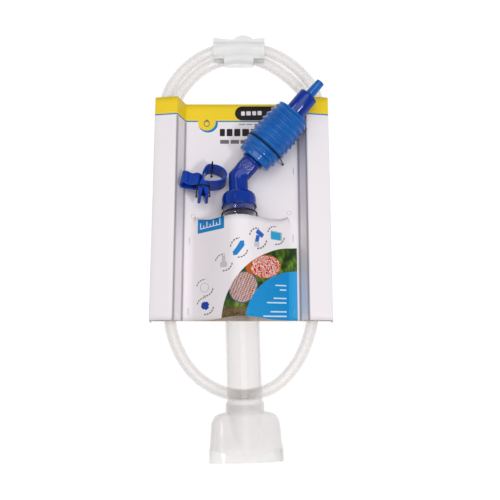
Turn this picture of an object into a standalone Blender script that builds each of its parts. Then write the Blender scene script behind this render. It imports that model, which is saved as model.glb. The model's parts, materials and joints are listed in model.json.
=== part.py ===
"""Gravel vacuum siphon with a priming bulb, tied to its folded display card.

Lengths are in metres. +X is to the right of the card, +Y runs up the card towards the hose
band, and +Z comes out of the card's front. The origin is the middle of the card's back face,
so z = 0 is the surface that the pack lies on.
"""
import math

import bmesh
import bpy
from mathutils import Matrix, Vector

MM = 0.001
FIT_GAP = 0.3 * MM

# Display card: a back sheet, a front sheet, and a raised column up each side.
CARD_HALF_WIDTH = 100 * MM
CARD_HALF_HEIGHT = 131 * MM
SHEET = 0.6 * MM
FRONT_SHEET_Z = SHEET + FIT_GAP
COLUMN_FOOT_X = 65.5 * MM
COLUMN_CREST_X = 74 * MM
COLUMN_CREST_Z = 24.5 * MM
COLUMN_EDGE_Z = 20.5 * MM
CREASE_GAP = 0.8 * MM
POCKET_TOP_Y = -17 * MM
POCKET_FOOT_X = 56 * MM
POCKET_SECTIONS = 5
CROWN_STEPS = 10
STAPLE_SIZE = (0.5 * MM, 8 * MM, 0.5 * MM)
STAPLE_PLACES = ((60.0, 47.5), (-58.8, -37.0), (58.6, -33.5), (-58.8, -118.0), (58.6, -118.0))

# The siphon lies on the card at its collar and on the hose at its nozzle, so it is tilted.
RIM_CENTRE = Vector((-2.4, -3.8, 22.0)) * MM
LEAN = math.radians(1.8)
TILT = math.radians(3.0)
ELBOW_ANGLE = math.radians(45)
SWIVEL_ANGLE = math.radians(17)

# Heights along the tube's axis, counted from the collar's rim. The nozzle's end is below.
TUBE_RADIUS = 18.3 * MM
TUBE_WALL = 1.4 * MM
TUBE_TOP = 9.4 * MM
TUBE_END = -227.6 * MM
COLLAR_TOP = 17.5 * MM
SLEEVE_TOP = -216.7 * MM
NOZZLE_END = -277 * MM
NOZZLE_WALL = 1.4 * MM
NOZZLE_SIDES = 56
NOZZLE_SQUARENESS = 3.2
TUBE_STOP = -227.9 * MM
STOP_DEPTH = 1.4 * MM
LIP_START = -240 * MM
GUARD_FLOOR = -5.5 * MM
GUARD_TOP = 8.9 * MM
STEM_FOOT = 8.7 * MM
SEAL_HEIGHT = 12.5 * MM
SEAL_RADIUS = 11.3 * MM
SEAL_THICKNESS = 1.45 * MM
BEND_HEIGHT = 37.4 * MM
STEM_RADIUS = 10.85 * MM
BORE_RADIUS = 6.2 * MM
CAGE_BORE = 7.35 * MM

# Distances along the bulb's axis, counted from the elbow's bend.
BULB_START = 26.0 * MM
BULB_END = 96.2 * MM
BULB_WALL = 1.5 * MM
RIDGE_RADIUS = 20.8 * MM
RIDGE_SWELL = 3.4 * MM
VALLEY_DEPTH = 1.8 * MM
CUFF_RADIUS = 20.4 * MM
BULB_INSIDE_RADIUS = 17.2 * MM
BULB_HOLE_RADIUS = 9.8 * MM
RIDGE_COUNT = 9
RIDGE_PITCH = 6.75 * MM
FIRST_RIDGE = BULB_START + 10.2 * MM
SPIGOT_END = 40.5 * MM
INLET_CAGE_START = 27.0 * MM
OUTLET_CAGE_START = 86.4 * MM
CONNECTOR_START = 86.0 * MM
CONNECTOR_END = 123.3 * MM
CONNECTOR_RADIUS = 11.3 * MM
TAIL_START = 111.5 * MM
TAIL_END = 143.2 * MM

# Ball valves: the same cage and ball in the elbow's head and in the outlet connector.
CAGE_LENGTH = 13 * MM
CAGE_RADIUS = 7.05 * MM
CAGE_INSIDE = 5.8 * MM
SEAT_THICKNESS = 1.5 * MM
SEAT_HOLE = 3.6 * MM
CAGE_MOUTH = 3.4 * MM
VALVE_BALL_RADIUS = 4.6 * MM

# Hose, its band, and the bucket clip.
HOSE_RADIUS = 6.5 * MM
HOSE_HEIGHT = 7.3 * MM
HOSE_POINT_SPACING = 20 * MM
BAND_LEFT = -34 * MM
BAND_RIGHT = 27 * MM
CLIP_CORNER = Vector((-17, 45.5, 2.1)) * MM
CLIP_LEAN = math.radians(15)
CLIP_TILT = math.radians(6)
CLIP_WIDTH = 18 * MM
CLIP_WALL = 1.9 * MM
CLIP_CURVE_STEPS = 2
WIRE_RADIUS = 0.7 * MM
WIRE_STEPS = 14

# The hose's centreline seen from the front, in millimetres: from its end inside the right
# column, over the top, down the left column, under the tube, up the right column and over
# the top again, to its other end inside the left column.
HOSE_ROUTE = (
    (76.3, 96), (76.4, 115), (76.1, 131), (71.8, 143), (63.2, 154), (52.4, 164.4), (37.6, 175.6),
    (18.4, 184.8), (-2.4, 187.6), (-23.0, 184.6), (-41.6, 176.2), (-56.0, 164.4), (-66.2, 152),
    (-73.2, 141), (-76.7, 129), (-77.2, 104), (-77.2, 50), (-78.2, -10), (-79.0, -70),
    (-79.0, -110), (-77.6, -132), (-72.6, -151), (-63.0, -171), (-50.0, -187.4), (-33.0, -200.2),
    (-15.0, -207.6), (4.4, -210.0), (22.6, -206.6), (36.6, -200.4), (48.4, -190.4), (62.0, -173),
    (72.0, -152), (78.0, -130), (80.6, -105), (83.4, -50), (86.6, 10), (89.6, 70), (90.2, 110),
    (89.6, 131), (85.0, 147), (75.6, 162), (62.4, 176.6), (45.4, 189.2), (25.0, 198.0),
    (-2.6, 201.8), (-30.2, 197.8), (-49.6, 188.8), (-66.6, 174.6), (-79.0, 158.4), (-86.8, 142.4),
    (-90.0, 126), (-90.4, 96),
)

# Outlines of the bucket clip in its own frame, in millimetres: a P-shaped rim loop and a pair
# of squeeze legs, seen along its width, and half of the hose holder, seen from its end.
CLIP_LOOP = (
    (-29.0, -25.2), (-22.6, -26.3), (-16.7, -26.0), (-10.4, -25.0), (-6.2, -23.0), (-2.4, -19.2),
    (-1.2, -14.5), (-2.4, -10.2), (-5.4, -6.2), (-9.8, -3.2), (-15.4, -1.8), (-21.4, -1.4),
    (-25.4, -4.4), (-28.2, -10.0), (-29.7, -17.0),
)
CLIP_LEGS = (
    (-31.0, -24.0), (-32.6, -33.0), (-34.2, -41.4), (-32.2, -44.0), (-30.2, -41.8),
    (-28.2, -33.4), (-26.1, -41.8), (-23.9, -44.0), (-21.8, -41.0), (-23.4, -33.0),
    (-25.0, -24.8),
)
HOLDER_HALF = (
    (0, 12.5), (2.2, 13.1), (5.2, 14.9), (8.4, 14.6), (10.9, 12.4), (11.5, 8.4), (10.8, 4.4),
    (8, 2.3),
)
HOLDER_PLACE = Vector((-41.7, -18.6, 0)) * MM
HOLDER_LENGTH = 15.3 * MM
HOLDER_TURN = math.radians(-9)

OVER_CLIP = CLIP_WIDTH + FIT_GAP + WIRE_RADIUS
CLIP_TIES = {
    "clip_loop_tie": ((-18, 1.2, 0), (-18, 0.6, OVER_CLIP), (-18, -5.0, OVER_CLIP), (-18, -5.4, 0)),
    "clip_leg_tie": (
        (-35.8, -29.8, 0), (-35.4, -31.2, 0.7 * OVER_CLIP), (-33.4, -31.4, OVER_CLIP),
        (-22.4, -31.4, OVER_CLIP), (-21.0, -31.2, 0.7 * OVER_CLIP), (-20.6, -29.8, 0),
    ),
}

TUBE_FRAME = (
    Matrix.Translation(RIM_CENTRE)
    @ Matrix.Rotation(LEAN, 4, "Z")
    @ Matrix.Rotation(-TILT - math.pi / 2, 4, "X")
)
SWIVEL_FRAME = TUBE_FRAME @ Matrix.Rotation(-SWIVEL_ANGLE, 4, "Z")
BULB_FRAME = (
    SWIVEL_FRAME
    @ Matrix.Translation((0, 0, BEND_HEIGHT))
    @ Matrix.Rotation(ELBOW_ANGLE, 4, "Y")
)


# ---------------------------------------------------------------- scene and mesh helpers

def clear_scene():
    """Remove every object that the file starts with."""
    for thing in list(bpy.data.objects):
        bpy.data.objects.remove(thing, do_unlink=True)


def plastic(name, color, roughness, metallic=0.0):
    """A Principled material with one colour."""
    made = bpy.data.materials.new(name)
    made.use_nodes = True
    shader = made.node_tree.nodes["Principled BSDF"]
    shader.inputs["Base Color"].default_value = (*color, 1.0)
    shader.inputs["Roughness"].default_value = roughness
    shader.inputs["Metallic"].default_value = metallic
    return made


def frame_empty(name, matrix):
    """An empty that stands at a joint's axis and carries the pieces built in its frame."""
    empty = bpy.data.objects.new(name, None)
    bpy.context.collection.objects.link(empty)
    empty.matrix_world = matrix
    return empty


def add_object(name, data, material, parent):
    """Link an object, give it its material, and place it in its parent's frame."""
    made = bpy.data.objects.new(name, data)
    bpy.context.collection.objects.link(made)
    data.materials.append(material)
    made.parent = parent
    return made


def finish_mesh(name, mesh_builder, material, parent, smooth=True):
    """Turn a bmesh into an object with its faces pointing out."""
    bmesh.ops.recalc_face_normals(mesh_builder, faces=mesh_builder.faces)
    mesh = bpy.data.meshes.new(name)
    mesh_builder.to_mesh(mesh)
    mesh_builder.free()
    if smooth:
        mesh.shade_smooth()
        mesh.set_sharp_from_angle(angle=math.radians(35))
    return add_object(name, mesh, material, parent)


def turned(name, profile, material, parent, sides=40):
    """Spin a closed (height, radius) profile once round the frame's Z axis."""
    builder = bmesh.new()
    corners = [builder.verts.new((radius, 0, height)) for height, radius in profile]
    edges = [builder.edges.new((corners[i - 1], corners[i])) for i in range(len(corners))]
    bmesh.ops.spin(
        builder, geom=corners + edges, cent=(0, 0, 0), axis=(0, 0, 1),
        angle=math.tau, steps=sides, use_duplicate=False,
    )
    bmesh.ops.remove_doubles(builder, verts=builder.verts, dist=1e-7)
    return finish_mesh(name, builder, material, parent)


def loft(name, rings, material, parent, ring_shell=False, smooth=True):
    """Join rings of points by faces. A ring shell closes on itself; else the ends are capped."""
    builder = bmesh.new()
    loops = [[builder.verts.new(point) for point in ring] for ring in rings]
    count = len(loops[0])
    pairs = list(zip(loops, loops[1:]))
    if ring_shell:
        pairs.append((loops[-1], loops[0]))
    else:
        builder.faces.new(loops[0])
        builder.faces.new(loops[-1])
    for near, far in pairs:
        for i in range(count):
            j = (i + 1) % count
            builder.faces.new((near[i], near[j], far[j], far[i]))
    return finish_mesh(name, builder, material, parent, smooth)


def prism(name, outline, low, high, material, axis="Y"):
    """Extrude an outline along Y (points are x, z) or along X (points are y, z)."""
    def place(point, along):
        first, second = point
        return (first, along, second) if axis == "Y" else (along, first, second)

    rings = [[place(point, along) for point in outline] for along in (low, high)]
    return loft(name, rings, material, None, smooth=False)


def smooth_path(points, steps, closed=False):
    """Catmull-Rom points through a list of vectors, with a number of steps for each span."""
    count = len(points)
    spans = count if closed else count - 1

    def at(index):
        return points[index % count] if closed else points[max(0, min(count - 1, index))]

    path = []
    for i in range(spans):
        before, start, end, after = at(i - 1), at(i), at(i + 1), at(i + 2)
        for step in range(steps):
            t = step / steps
            path.append(0.5 * (
                2 * start
                + (end - before) * t
                + (2 * before - 5 * start + 4 * end - after) * t ** 2
                + (3 * start - before - 3 * end + after) * t ** 3
            ))
    if not closed:
        path.append(points[-1].copy())
    return path


def evenly_spaced(path, spacing):
    """Points at equal steps along a dense path, with both of its ends kept."""
    total = sum((b - a).length for a, b in zip(path, path[1:]))
    count = max(2, round(total / spacing))
    step = total / count
    chosen = [path[0].copy()]
    travelled = 0.0
    for start, end in zip(path, path[1:]):
        span = (end - start).length
        while len(chosen) < count and travelled + span >= len(chosen) * step:
            chosen.append(start.lerp(end, (len(chosen) * step - travelled) / span))
        travelled += span
    chosen.append(path[-1].copy())
    return chosen


def round_bar(name, points, radius, material, parent=None, resolution=2):
    """A round bar along world points, as a poly curve with filled caps."""
    curve = bpy.data.curves.new(name, "CURVE")
    curve.dimensions = "3D"
    curve.bevel_depth = radius
    curve.bevel_resolution = resolution
    curve.use_fill_caps = True
    spline = curve.splines.new("POLY")
    spline.points.add(len(points) - 1)
    into_frame = parent.matrix_world.inverted() if parent else Matrix.Identity(4)
    for knot, point in zip(spline.points, points):
        knot.co = (*(into_frame @ point), 1.0)
    return add_object(name, curve, material, parent)


# ---------------------------------------------------------------- display card

def wall_outline(start, end, pull_back):
    """A flat strip of sheet between two outer corners, thickened to its left-hand side."""
    start, end = Vector(start), Vector(end)
    along = (end - start).normalized()
    inward = Vector((-along.y, along.x)) * SHEET
    start = start + along * pull_back[0]
    end = end - along * pull_back[1]
    return [start, end, end + inward, start + inward]


def make_columns(material):
    """Each side's column is a riser, a sloping crown and an outer side, split at the creases."""
    foot = (COLUMN_FOOT_X, FRONT_SHEET_Z)
    crest = (COLUMN_CREST_X, COLUMN_CREST_Z)
    edge = (CARD_HALF_WIDTH, COLUMN_EDGE_Z)
    base = (CARD_HALF_WIDTH, FRONT_SHEET_Z)
    walls = {
        "riser": (crest, foot, (CREASE_GAP, CREASE_GAP)),
        "crown": (edge, crest, (CREASE_GAP, CREASE_GAP)),
        "side": (base, edge, (0, CREASE_GAP)),
    }
    for side, sign in (("left", -1), ("right", 1)):
        for part, (start, end, pull_back) in walls.items():
            outline = [(sign * x, z) for x, z in wall_outline(start, end, pull_back)]
            prism(f"{side}_column_{part}", outline, -CARD_HALF_HEIGHT, CARD_HALF_HEIGHT, material)


def flat_sheet(name, x_range, y_range, z, material):
    """A rectangle of card of the sheet's thickness."""
    outline = [
        (x_range[0], z), (x_range[1], z), (x_range[1], z + SHEET), (x_range[0], z + SHEET),
    ]
    prism(name, outline, *y_range, material)


def make_flat_sheets(front_material, back_material):
    """The back sheet, the front sheet above the pocket, and its margins beside the pocket."""
    width = (-CARD_HALF_WIDTH, CARD_HALF_WIDTH)
    height = (-CARD_HALF_HEIGHT, CARD_HALF_HEIGHT)
    flat_sheet("card_back_sheet", width, height, 0, back_material)
    edge = COLUMN_FOOT_X - CREASE_GAP
    upper = (POCKET_TOP_Y + FIT_GAP, CARD_HALF_HEIGHT)
    flat_sheet("card_front_sheet", (-edge, edge), upper, FRONT_SHEET_Z, front_material)
    lower = (-CARD_HALF_HEIGHT, POCKET_TOP_Y - FIT_GAP)
    inner = POCKET_FOOT_X + CREASE_GAP
    flat_sheet("left_pocket_margin", (-edge, -inner), lower, FRONT_SHEET_Z, front_material)
    flat_sheet("right_pocket_margin", (inner, edge), lower, FRONT_SHEET_Z, front_material)


def tube_point(y):
    """The point of the tube's axis at a world height y up the card."""
    direction = TUBE_FRAME.to_3x3() @ Vector((0, 0, 1))
    return RIM_CENTRE + direction * ((y - RIM_CENTRE.y) / direction.y)


def pocket_tangent(y, sign, radius):
    """Where the pocket's slope on one side leaves its foot and where it meets the crown."""
    foot = Vector((sign * POCKET_FOOT_X, FRONT_SHEET_Z + SHEET))
    centre = tube_point(y).xz
    reach = centre - foot
    rise = math.atan2(reach.y, -sign * reach.x) + math.asin(radius / reach.length)
    run = math.sqrt(reach.length_squared - radius ** 2)
    meeting = foot + run * Vector((-sign * math.cos(rise), math.sin(rise)))
    return foot, meeting, centre


def slope_section(y, sign):
    """One slope of the pocket, cut across at a height up the card."""
    foot, meeting, _ = pocket_tangent(y, sign, TUBE_RADIUS + 2 * FIT_GAP + SHEET)
    along = (meeting - foot).normalized()
    inward = Vector((-sign * along.y, sign * along.x)) * SHEET
    start = foot + along * CREASE_GAP
    end = meeting - along * CREASE_GAP
    return [start, end, end + inward, start + inward]


def crown_section(y):
    """The pocket's crown over the tube, cut across at a height up the card."""
    outer = TUBE_RADIUS + 2 * FIT_GAP + SHEET
    _, left, centre = pocket_tangent(y, -1, outer)
    _, right, _ = pocket_tangent(y, 1, outer)
    angles = [math.atan2((p - centre).y, (p - centre).x) for p in (right, left)]
    points = []
    for radius, ends in ((outer, angles), (outer - SHEET, angles[::-1])):
        for step in range(CROWN_STEPS + 1):
            angle = ends[0] + (ends[1] - ends[0]) * step / CROWN_STEPS
            points.append(centre + radius * Vector((math.cos(angle), math.sin(angle))))
    return points


def make_pocket(material):
    """The lower front sheet bows up over the tube: two slopes and a crown that follows it."""
    depth = POCKET_TOP_Y + CARD_HALF_HEIGHT
    heights = [POCKET_TOP_Y - depth * i / (POCKET_SECTIONS - 1) for i in range(POCKET_SECTIONS)]
    sections = {
        "pocket_left_slope": lambda y: slope_section(y, -1),
        "pocket_right_slope": lambda y: slope_section(y, 1),
        "pocket_crown": crown_section,
    }
    for name, section in sections.items():
        rings = [[(p.x, y, p.y) for p in section(y)] for y in heights]
        loft(name, rings, material, None, smooth=name == "pocket_crown")


def make_staples(material):
    """Wire staples that hold the front sheet to the back sheet."""
    z = FRONT_SHEET_Z + SHEET + FIT_GAP + STAPLE_SIZE[2] / 2
    for number, (x, y) in enumerate(STAPLE_PLACES, 1):
        builder = bmesh.new()
        place = Matrix.Translation((x * MM, y * MM, z)) @ Matrix.Diagonal((*STAPLE_SIZE, 1))
        bmesh.ops.create_cube(builder, size=1, matrix=place)
        finish_mesh(f"card_staple_{number}", builder, material, None, smooth=False)


# ---------------------------------------------------------------- tube, collar and nozzle

def make_tube(material, parent):
    """The clear gravel tube, open at both ends."""
    inner = TUBE_RADIUS - TUBE_WALL
    profile = [
        (TUBE_END, TUBE_RADIUS), (TUBE_TOP, TUBE_RADIUS), (TUBE_TOP, inner), (TUBE_END, inner),
    ]
    turned("gravel_tube", profile, material, parent, 40)


def make_collar(material, parent):
    """The collar sits on the tube's top and holds the elbow's stem in its own small chamber."""
    socket = TUBE_RADIUS + FIT_GAP
    hole = STEM_RADIUS + FIT_GAP
    profile = [
        (0, 19.9 * MM), (3 * MM, 19.4 * MM), (10.5 * MM, 19.4 * MM), (14 * MM, 18.6 * MM),
        (16.4 * MM, 17 * MM), (COLLAR_TOP, 14.8 * MM), (COLLAR_TOP, hole), (15.3 * MM, hole),
        (15.3 * MM, 13.1 * MM), (9.8 * MM, 13.1 * MM), (9.8 * MM, socket), (0, socket),
    ]
    turned("tube_collar", profile, material, parent, 40)


def make_guard(material, parent):
    """A slotted cup in the tube's top stops gravel on its way to the hose."""
    outer = TUBE_RADIUS - TUBE_WALL - FIT_GAP
    wall, floor, hub = 1.4 * MM, 1.6 * MM, 2.2 * MM
    profile = [
        (GUARD_FLOOR, outer), (GUARD_TOP, outer), (GUARD_TOP, outer - wall),
        (GUARD_FLOOR + floor, outer - wall), (GUARD_FLOOR + floor, hub), (GUARD_FLOOR, hub),
    ]
    guard = turned("gravel_guard", profile, material, parent, 32)
    builder = bmesh.new()
    for turn in range(4):
        spin = Matrix.Rotation(turn * math.pi / 4 + math.pi / 8, 4, "Z")
        for side in (-1, 1):
            size = Matrix.Diagonal((8.6 * MM, 2.6 * MM, 3 * floor, 1))
            place = Matrix.Translation((side * 9 * MM, 0, GUARD_FLOOR + floor / 2))
            bmesh.ops.create_cube(builder, size=1, matrix=spin @ place @ size)
    cut_away(guard, finish_mesh("guard_slots", builder, material, parent, smooth=False))


def cut_away(piece, cutter):
    """Subtract a hidden cutter from a piece."""
    cutter.hide_render = True
    cutter.display_type = "WIRE"
    cut = piece.modifiers.new("cut", "BOOLEAN")
    cut.operation = "DIFFERENCE"
    cut.object = cutter


def nozzle_ring(height, half_width, half_depth, barrel):
    """A rounded box round the tube's axis, or the round barrel wherever that stands out further."""
    ring = []
    for i in range(NOZZLE_SIDES):
        angle = math.tau * i / NOZZLE_SIDES
        across, out = math.cos(angle), math.sin(angle)
        share = abs(across / half_width) ** NOZZLE_SQUARENESS + abs(out / half_depth) ** NOZZLE_SQUARENESS
        reach = max(barrel, share ** (-1 / NOZZLE_SQUARENESS))
        x, y = reach * across, reach * out
        ring.append((x, y, height + mouth_rise(x, y, height)))
    return ring


def mouth_rise(x, y, height):
    """The mouth's front wall is shorter than its back wall, most of all at its sides."""
    depth = max(0.0, (LIP_START - height) / (LIP_START - NOZZLE_END))
    frontness = max(0.0, min(1.0, -y / (6 * MM)))
    return depth ** 2 * frontness * (3.6 * MM + 8.6 * MM * (x / (37 * MM)) ** 2)


def make_nozzle(material, parent):
    """The wide nozzle: a sleeve over the tube, square shoulders and a mouth that deepens."""
    barrel = TUBE_RADIUS + FIT_GAP + NOZZLE_WALL
    box = (
        (-226.8, 20, 8), (-227.4, 24.4, 9), (-229, 29, 10), (-232, 32.8, 11), (-237.5, 35.2, 12.2),
        (-246, 35.9, 14), (-256, 36.5, 16.2), (-268, 37.3, 18.9), (NOZZLE_END / MM, 38, 20.2),
    )
    rings = [nozzle_ring(SLEEVE_TOP, 20 * MM, 8 * MM, barrel)]
    rings += [nozzle_ring(height * MM, width * MM, depth * MM, barrel) for height, width, depth in box]
    for height, width, depth in reversed(box):
        drop = NOZZLE_WALL if height * MM > LIP_START else 0.0
        inset_width, inset_depth = width * MM - NOZZLE_WALL, depth * MM - NOZZLE_WALL
        bore = barrel - NOZZLE_WALL - STOP_DEPTH
        rings.append(nozzle_ring(height * MM - drop, inset_width, inset_depth, bore))
    rings.append(nozzle_ring(TUBE_STOP, 18 * MM, 6 * MM, barrel - NOZZLE_WALL))
    rings.append(nozzle_ring(SLEEVE_TOP, 18 * MM, 6 * MM, barrel - NOZZLE_WALL))
    loft("intake_nozzle", rings, material, parent, ring_shell=True)


# ---------------------------------------------------------------- elbow, bulb and outlet

def circle(centre, direction, radius, sides=28):
    """A ring of points round a direction in the swivel frame's XZ plane."""
    across = Vector((direction.z, 0, -direction.x))
    out = Vector((0, 1, 0))
    return [
        centre + radius * (math.cos(math.tau * i / sides) * across + math.sin(math.tau * i / sides) * out)
        for i in range(sides)
    ]


def elbow_rings(stem, leg, bend_radius):
    """Rings up the stem, round the mitred bend, and along the angled leg."""
    up = Vector((0, 0, 1))
    slant = Vector((math.sin(ELBOW_ANGLE), 0, math.cos(ELBOW_ANGLE)))
    half = Vector((math.sin(ELBOW_ANGLE / 2), 0, math.cos(ELBOW_ANGLE / 2)))
    bend = Vector((0, 0, BEND_HEIGHT))
    rings = [circle(up * height, up, radius) for height, radius in stem]
    widened = circle(bend, half, bend_radius)
    stretch = 1 / math.cos(ELBOW_ANGLE / 2)
    across = Vector((half.z, 0, -half.x))
    mitre = [p + across * (p - bend).dot(across) * (stretch - 1) for p in widened]
    rings.append(mitre)
    rings += [circle(bend + slant * distance, slant, radius) for distance, radius in leg]
    return rings


def make_elbow(material, parent):
    """The hollow elbow: snap lip and seal groove, mitred bend, flange, and barbed bulb head."""
    lip, groove = 12.4 * MM, 9.6 * MM
    stem = [
        (STEM_FOOT, 10.4 * MM), (9.3 * MM, lip), (10.5 * MM, lip), (10.7 * MM, groove),
        (14.3 * MM, groove), (14.5 * MM, STEM_RADIUS), (30 * MM, STEM_RADIUS),
    ]
    leg = [
        (7 * MM, STEM_RADIUS), (22.6 * MM, STEM_RADIUS), (22.9 * MM, 12.7 * MM),
        (25.5 * MM, 12.7 * MM), (25.6 * MM, 9.5 * MM), (27.8 * MM, 9.5 * MM),
        (28.0 * MM, 10.7 * MM), (30.5 * MM, 9.3 * MM), (SPIGOT_END, 9.3 * MM),
    ]
    step = INLET_CAGE_START - FIT_GAP
    bore_leg = [(SPIGOT_END, CAGE_BORE), (step, CAGE_BORE), (step, BORE_RADIUS)]
    bore_stem = [(STEM_FOOT, BORE_RADIUS)]
    outside = elbow_rings(stem, leg, STEM_RADIUS)
    inside = elbow_rings(bore_stem, bore_leg[::-1], BORE_RADIUS)
    loft("swivel_elbow", outside + inside[::-1], material, parent, ring_shell=True)


def make_seal(material, parent):
    """The rubber ring in the elbow's groove."""
    profile = [
        (SEAL_HEIGHT + SEAL_THICKNESS * math.sin(math.tau * i / 10),
         SEAL_RADIUS + SEAL_THICKNESS * math.cos(math.tau * i / 10))
        for i in range(10)
    ]
    turned("swivel_seal", profile, material, parent, 28)


def make_cage(name, start, material, parent):
    """A turned cup with the valve's seat in its floor and a notched stop at its mouth."""
    end = start + CAGE_LENGTH
    profile = [
        (start, CAGE_RADIUS), (end, CAGE_RADIUS), (end, CAGE_MOUTH),
        (end - SEAT_THICKNESS, CAGE_MOUTH), (end - SEAT_THICKNESS, CAGE_INSIDE),
        (start + SEAT_THICKNESS, CAGE_INSIDE), (start + SEAT_THICKNESS, SEAT_HOLE),
        (start, SEAT_HOLE),
    ]
    cage = turned(name, profile, material, parent, 24)
    builder = bmesh.new()
    for turn in range(3):
        spin = Matrix.Rotation(turn * math.tau / 3, 4, "Z")
        place = Matrix.Translation((CAGE_MOUTH, 0, end))
        size = Matrix.Diagonal((4.2 * MM, 2 * MM, 4 * SEAT_THICKNESS, 1))
        bmesh.ops.create_cube(builder, size=1, matrix=spin @ place @ size)
    cut_away(cage, finish_mesh(f"{name}_notches", builder, material, parent, smooth=False))


def make_ball(name, cage_start, material, parent):
    """The valve's ball, resting just clear of its seat."""
    on_seat = math.sqrt(VALVE_BALL_RADIUS ** 2 - SEAT_HOLE ** 2)
    centre = Vector((0, 0, cage_start + SEAT_THICKNESS + on_seat + FIT_GAP))
    builder = bmesh.new()
    bmesh.ops.create_uvsphere(
        builder, u_segments=14, v_segments=8, radius=VALVE_BALL_RADIUS,
        matrix=Matrix.Translation(centre),
    )
    finish_mesh(name, builder, material, parent)


def ridge_radius(along):
    """The ridges' outer radius, which swells towards the middle of the bulb like a barrel."""
    share = (along - BULB_START) / (BULB_END - BULB_START)
    return RIDGE_RADIUS + RIDGE_SWELL * (1 - (2 * share - 1) ** 2)


def make_bellows(material, parent):
    """The ridged priming bulb, with a plain cuff at each end and a hole for each fitting."""
    edge = 0.9 * MM
    profile = [
        (BULB_START, BULB_HOLE_RADIUS), (BULB_START, CUFF_RADIUS - edge),
        (BULB_START + edge, CUFF_RADIUS), (BULB_START + 5.6 * MM, CUFF_RADIUS),
    ]
    valley_half, crest_half = 0.9 * MM, 1.7 * MM
    for ridge in range(RIDGE_COUNT):
        middle = FIRST_RIDGE + ridge * RIDGE_PITCH
        before = middle - RIDGE_PITCH / 2
        valley, crest = ridge_radius(before) - VALLEY_DEPTH, ridge_radius(middle)
        profile += [
            (before - valley_half, valley), (before + valley_half, valley),
            (middle - crest_half, crest), (middle + crest_half, crest),
        ]
    last = FIRST_RIDGE + (RIDGE_COUNT - 0.5) * RIDGE_PITCH
    valley = ridge_radius(last) - VALLEY_DEPTH
    profile += [
        (last - valley_half, valley), (last + 0.2 * MM, valley),
        (last + edge, CUFF_RADIUS), (BULB_END - edge, CUFF_RADIUS),
        (BULB_END, CUFF_RADIUS - edge), (BULB_END, BULB_HOLE_RADIUS),
        (BULB_END - BULB_WALL, BULB_HOLE_RADIUS), (BULB_END - BULB_WALL, BULB_INSIDE_RADIUS),
        (BULB_START + BULB_WALL, BULB_INSIDE_RADIUS), (BULB_START + BULB_WALL, BULB_HOLE_RADIUS),
    ]
    turned("priming_bellows", profile, material, parent, 28)


def make_outlet(material, parent):
    """The outlet connector: barbed neck in the bulb, valve chamber, and a socket for the tail."""
    neck, barb = 9.5 * MM, 10.7 * MM
    socket = 6.3 * MM
    profile = [
        (CONNECTOR_START, 9.2 * MM), (91.6 * MM, 9.2 * MM), (94.2 * MM, barb), (94.4 * MM, neck),
        (96.5 * MM, neck), (96.5 * MM, CONNECTOR_RADIUS), (121.6 * MM, CONNECTOR_RADIUS),
        (122.8 * MM, 10.8 * MM), (CONNECTOR_END, 9.8 * MM), (CONNECTOR_END, socket),
        (TAIL_START - FIT_GAP, socket), (TAIL_START - FIT_GAP, 4.2 * MM),
        (100.2 * MM, 4.2 * MM), (99.7 * MM, CAGE_BORE), (CONNECTOR_START, CAGE_BORE),
    ]
    turned("outlet_connector", profile, material, parent, 28)


def make_tail(material, parent):
    """The tapered tail that the hose pushes onto."""
    profile = [
        (TAIL_START, 5.9 * MM), (CONNECTOR_END, 5.7 * MM), (CONNECTOR_END + 1 * MM, 5.6 * MM),
        (TAIL_END - 0.6 * MM, 4.9 * MM), (TAIL_END, 4.5 * MM), (TAIL_END, 3.3 * MM),
        (TAIL_START, 3.9 * MM),
    ]
    turned("hose_tail", profile, material, parent, 20)


# ---------------------------------------------------------------- hose, clip and ties

def make_hose(material):
    """The clear hose, coiled once and a half round through the card's two columns."""
    knots = [Vector((x * MM, y * MM, HOSE_HEIGHT)) for x, y in HOSE_ROUTE]
    dense = smooth_path(knots, 12)
    route = evenly_spaced(dense, HOSE_POINT_SPACING)
    round_bar("hose", route, HOSE_RADIUS, material)


def make_band(material):
    """A clear film folded over both strands of the hose and sealed above them."""
    outline = [
        (176 * MM, 14.2 * MM), (206.6 * MM, 14.2 * MM), (210.4 * MM, 8 * MM),
        (217.5 * MM, 7.6 * MM), (217.5 * MM, 7.0 * MM), (210.4 * MM, 6.6 * MM),
        (206.6 * MM, 0.1 * MM), (176 * MM, 0.1 * MM), (176 * MM, 0.5 * MM),
        (206.2 * MM, 0.5 * MM), (209.6 * MM, 7.3 * MM), (206.2 * MM, 13.9 * MM),
        (176 * MM, 13.9 * MM),
    ]
    prism("hose_band", outline, BAND_LEFT, BAND_RIGHT, material, axis="X")


def clip_frame():
    """The clip leans back up the card on its top edge, and its left end rides on the column."""
    return (
        Matrix.Translation(CLIP_CORNER)
        @ Matrix.Rotation(CLIP_TILT, 4, "Y")
        @ Matrix.Rotation(-CLIP_LEAN, 4, "X")
    )


def clip_curve(outline):
    """A smooth closed loop through an outline given in millimetres."""
    knots = [Vector((x, y, 0)) * MM for x, y in outline]
    return smooth_path(knots, CLIP_CURVE_STEPS, closed=True)


def inset_loop(loop, distance):
    """The loop moved inwards by a distance, towards the middle of its own area."""
    turning = sum(a.cross(b).z for a, b in zip(loop, loop[1:] + loop[:1]))
    inwards = math.copysign(distance, turning)
    moved = []
    for i, point in enumerate(loop):
        along = (loop[(i + 1) % len(loop)] - loop[i - 1]).normalized()
        moved.append(point + inwards * Vector((-along.y, along.x, 0)))
    return moved


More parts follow.
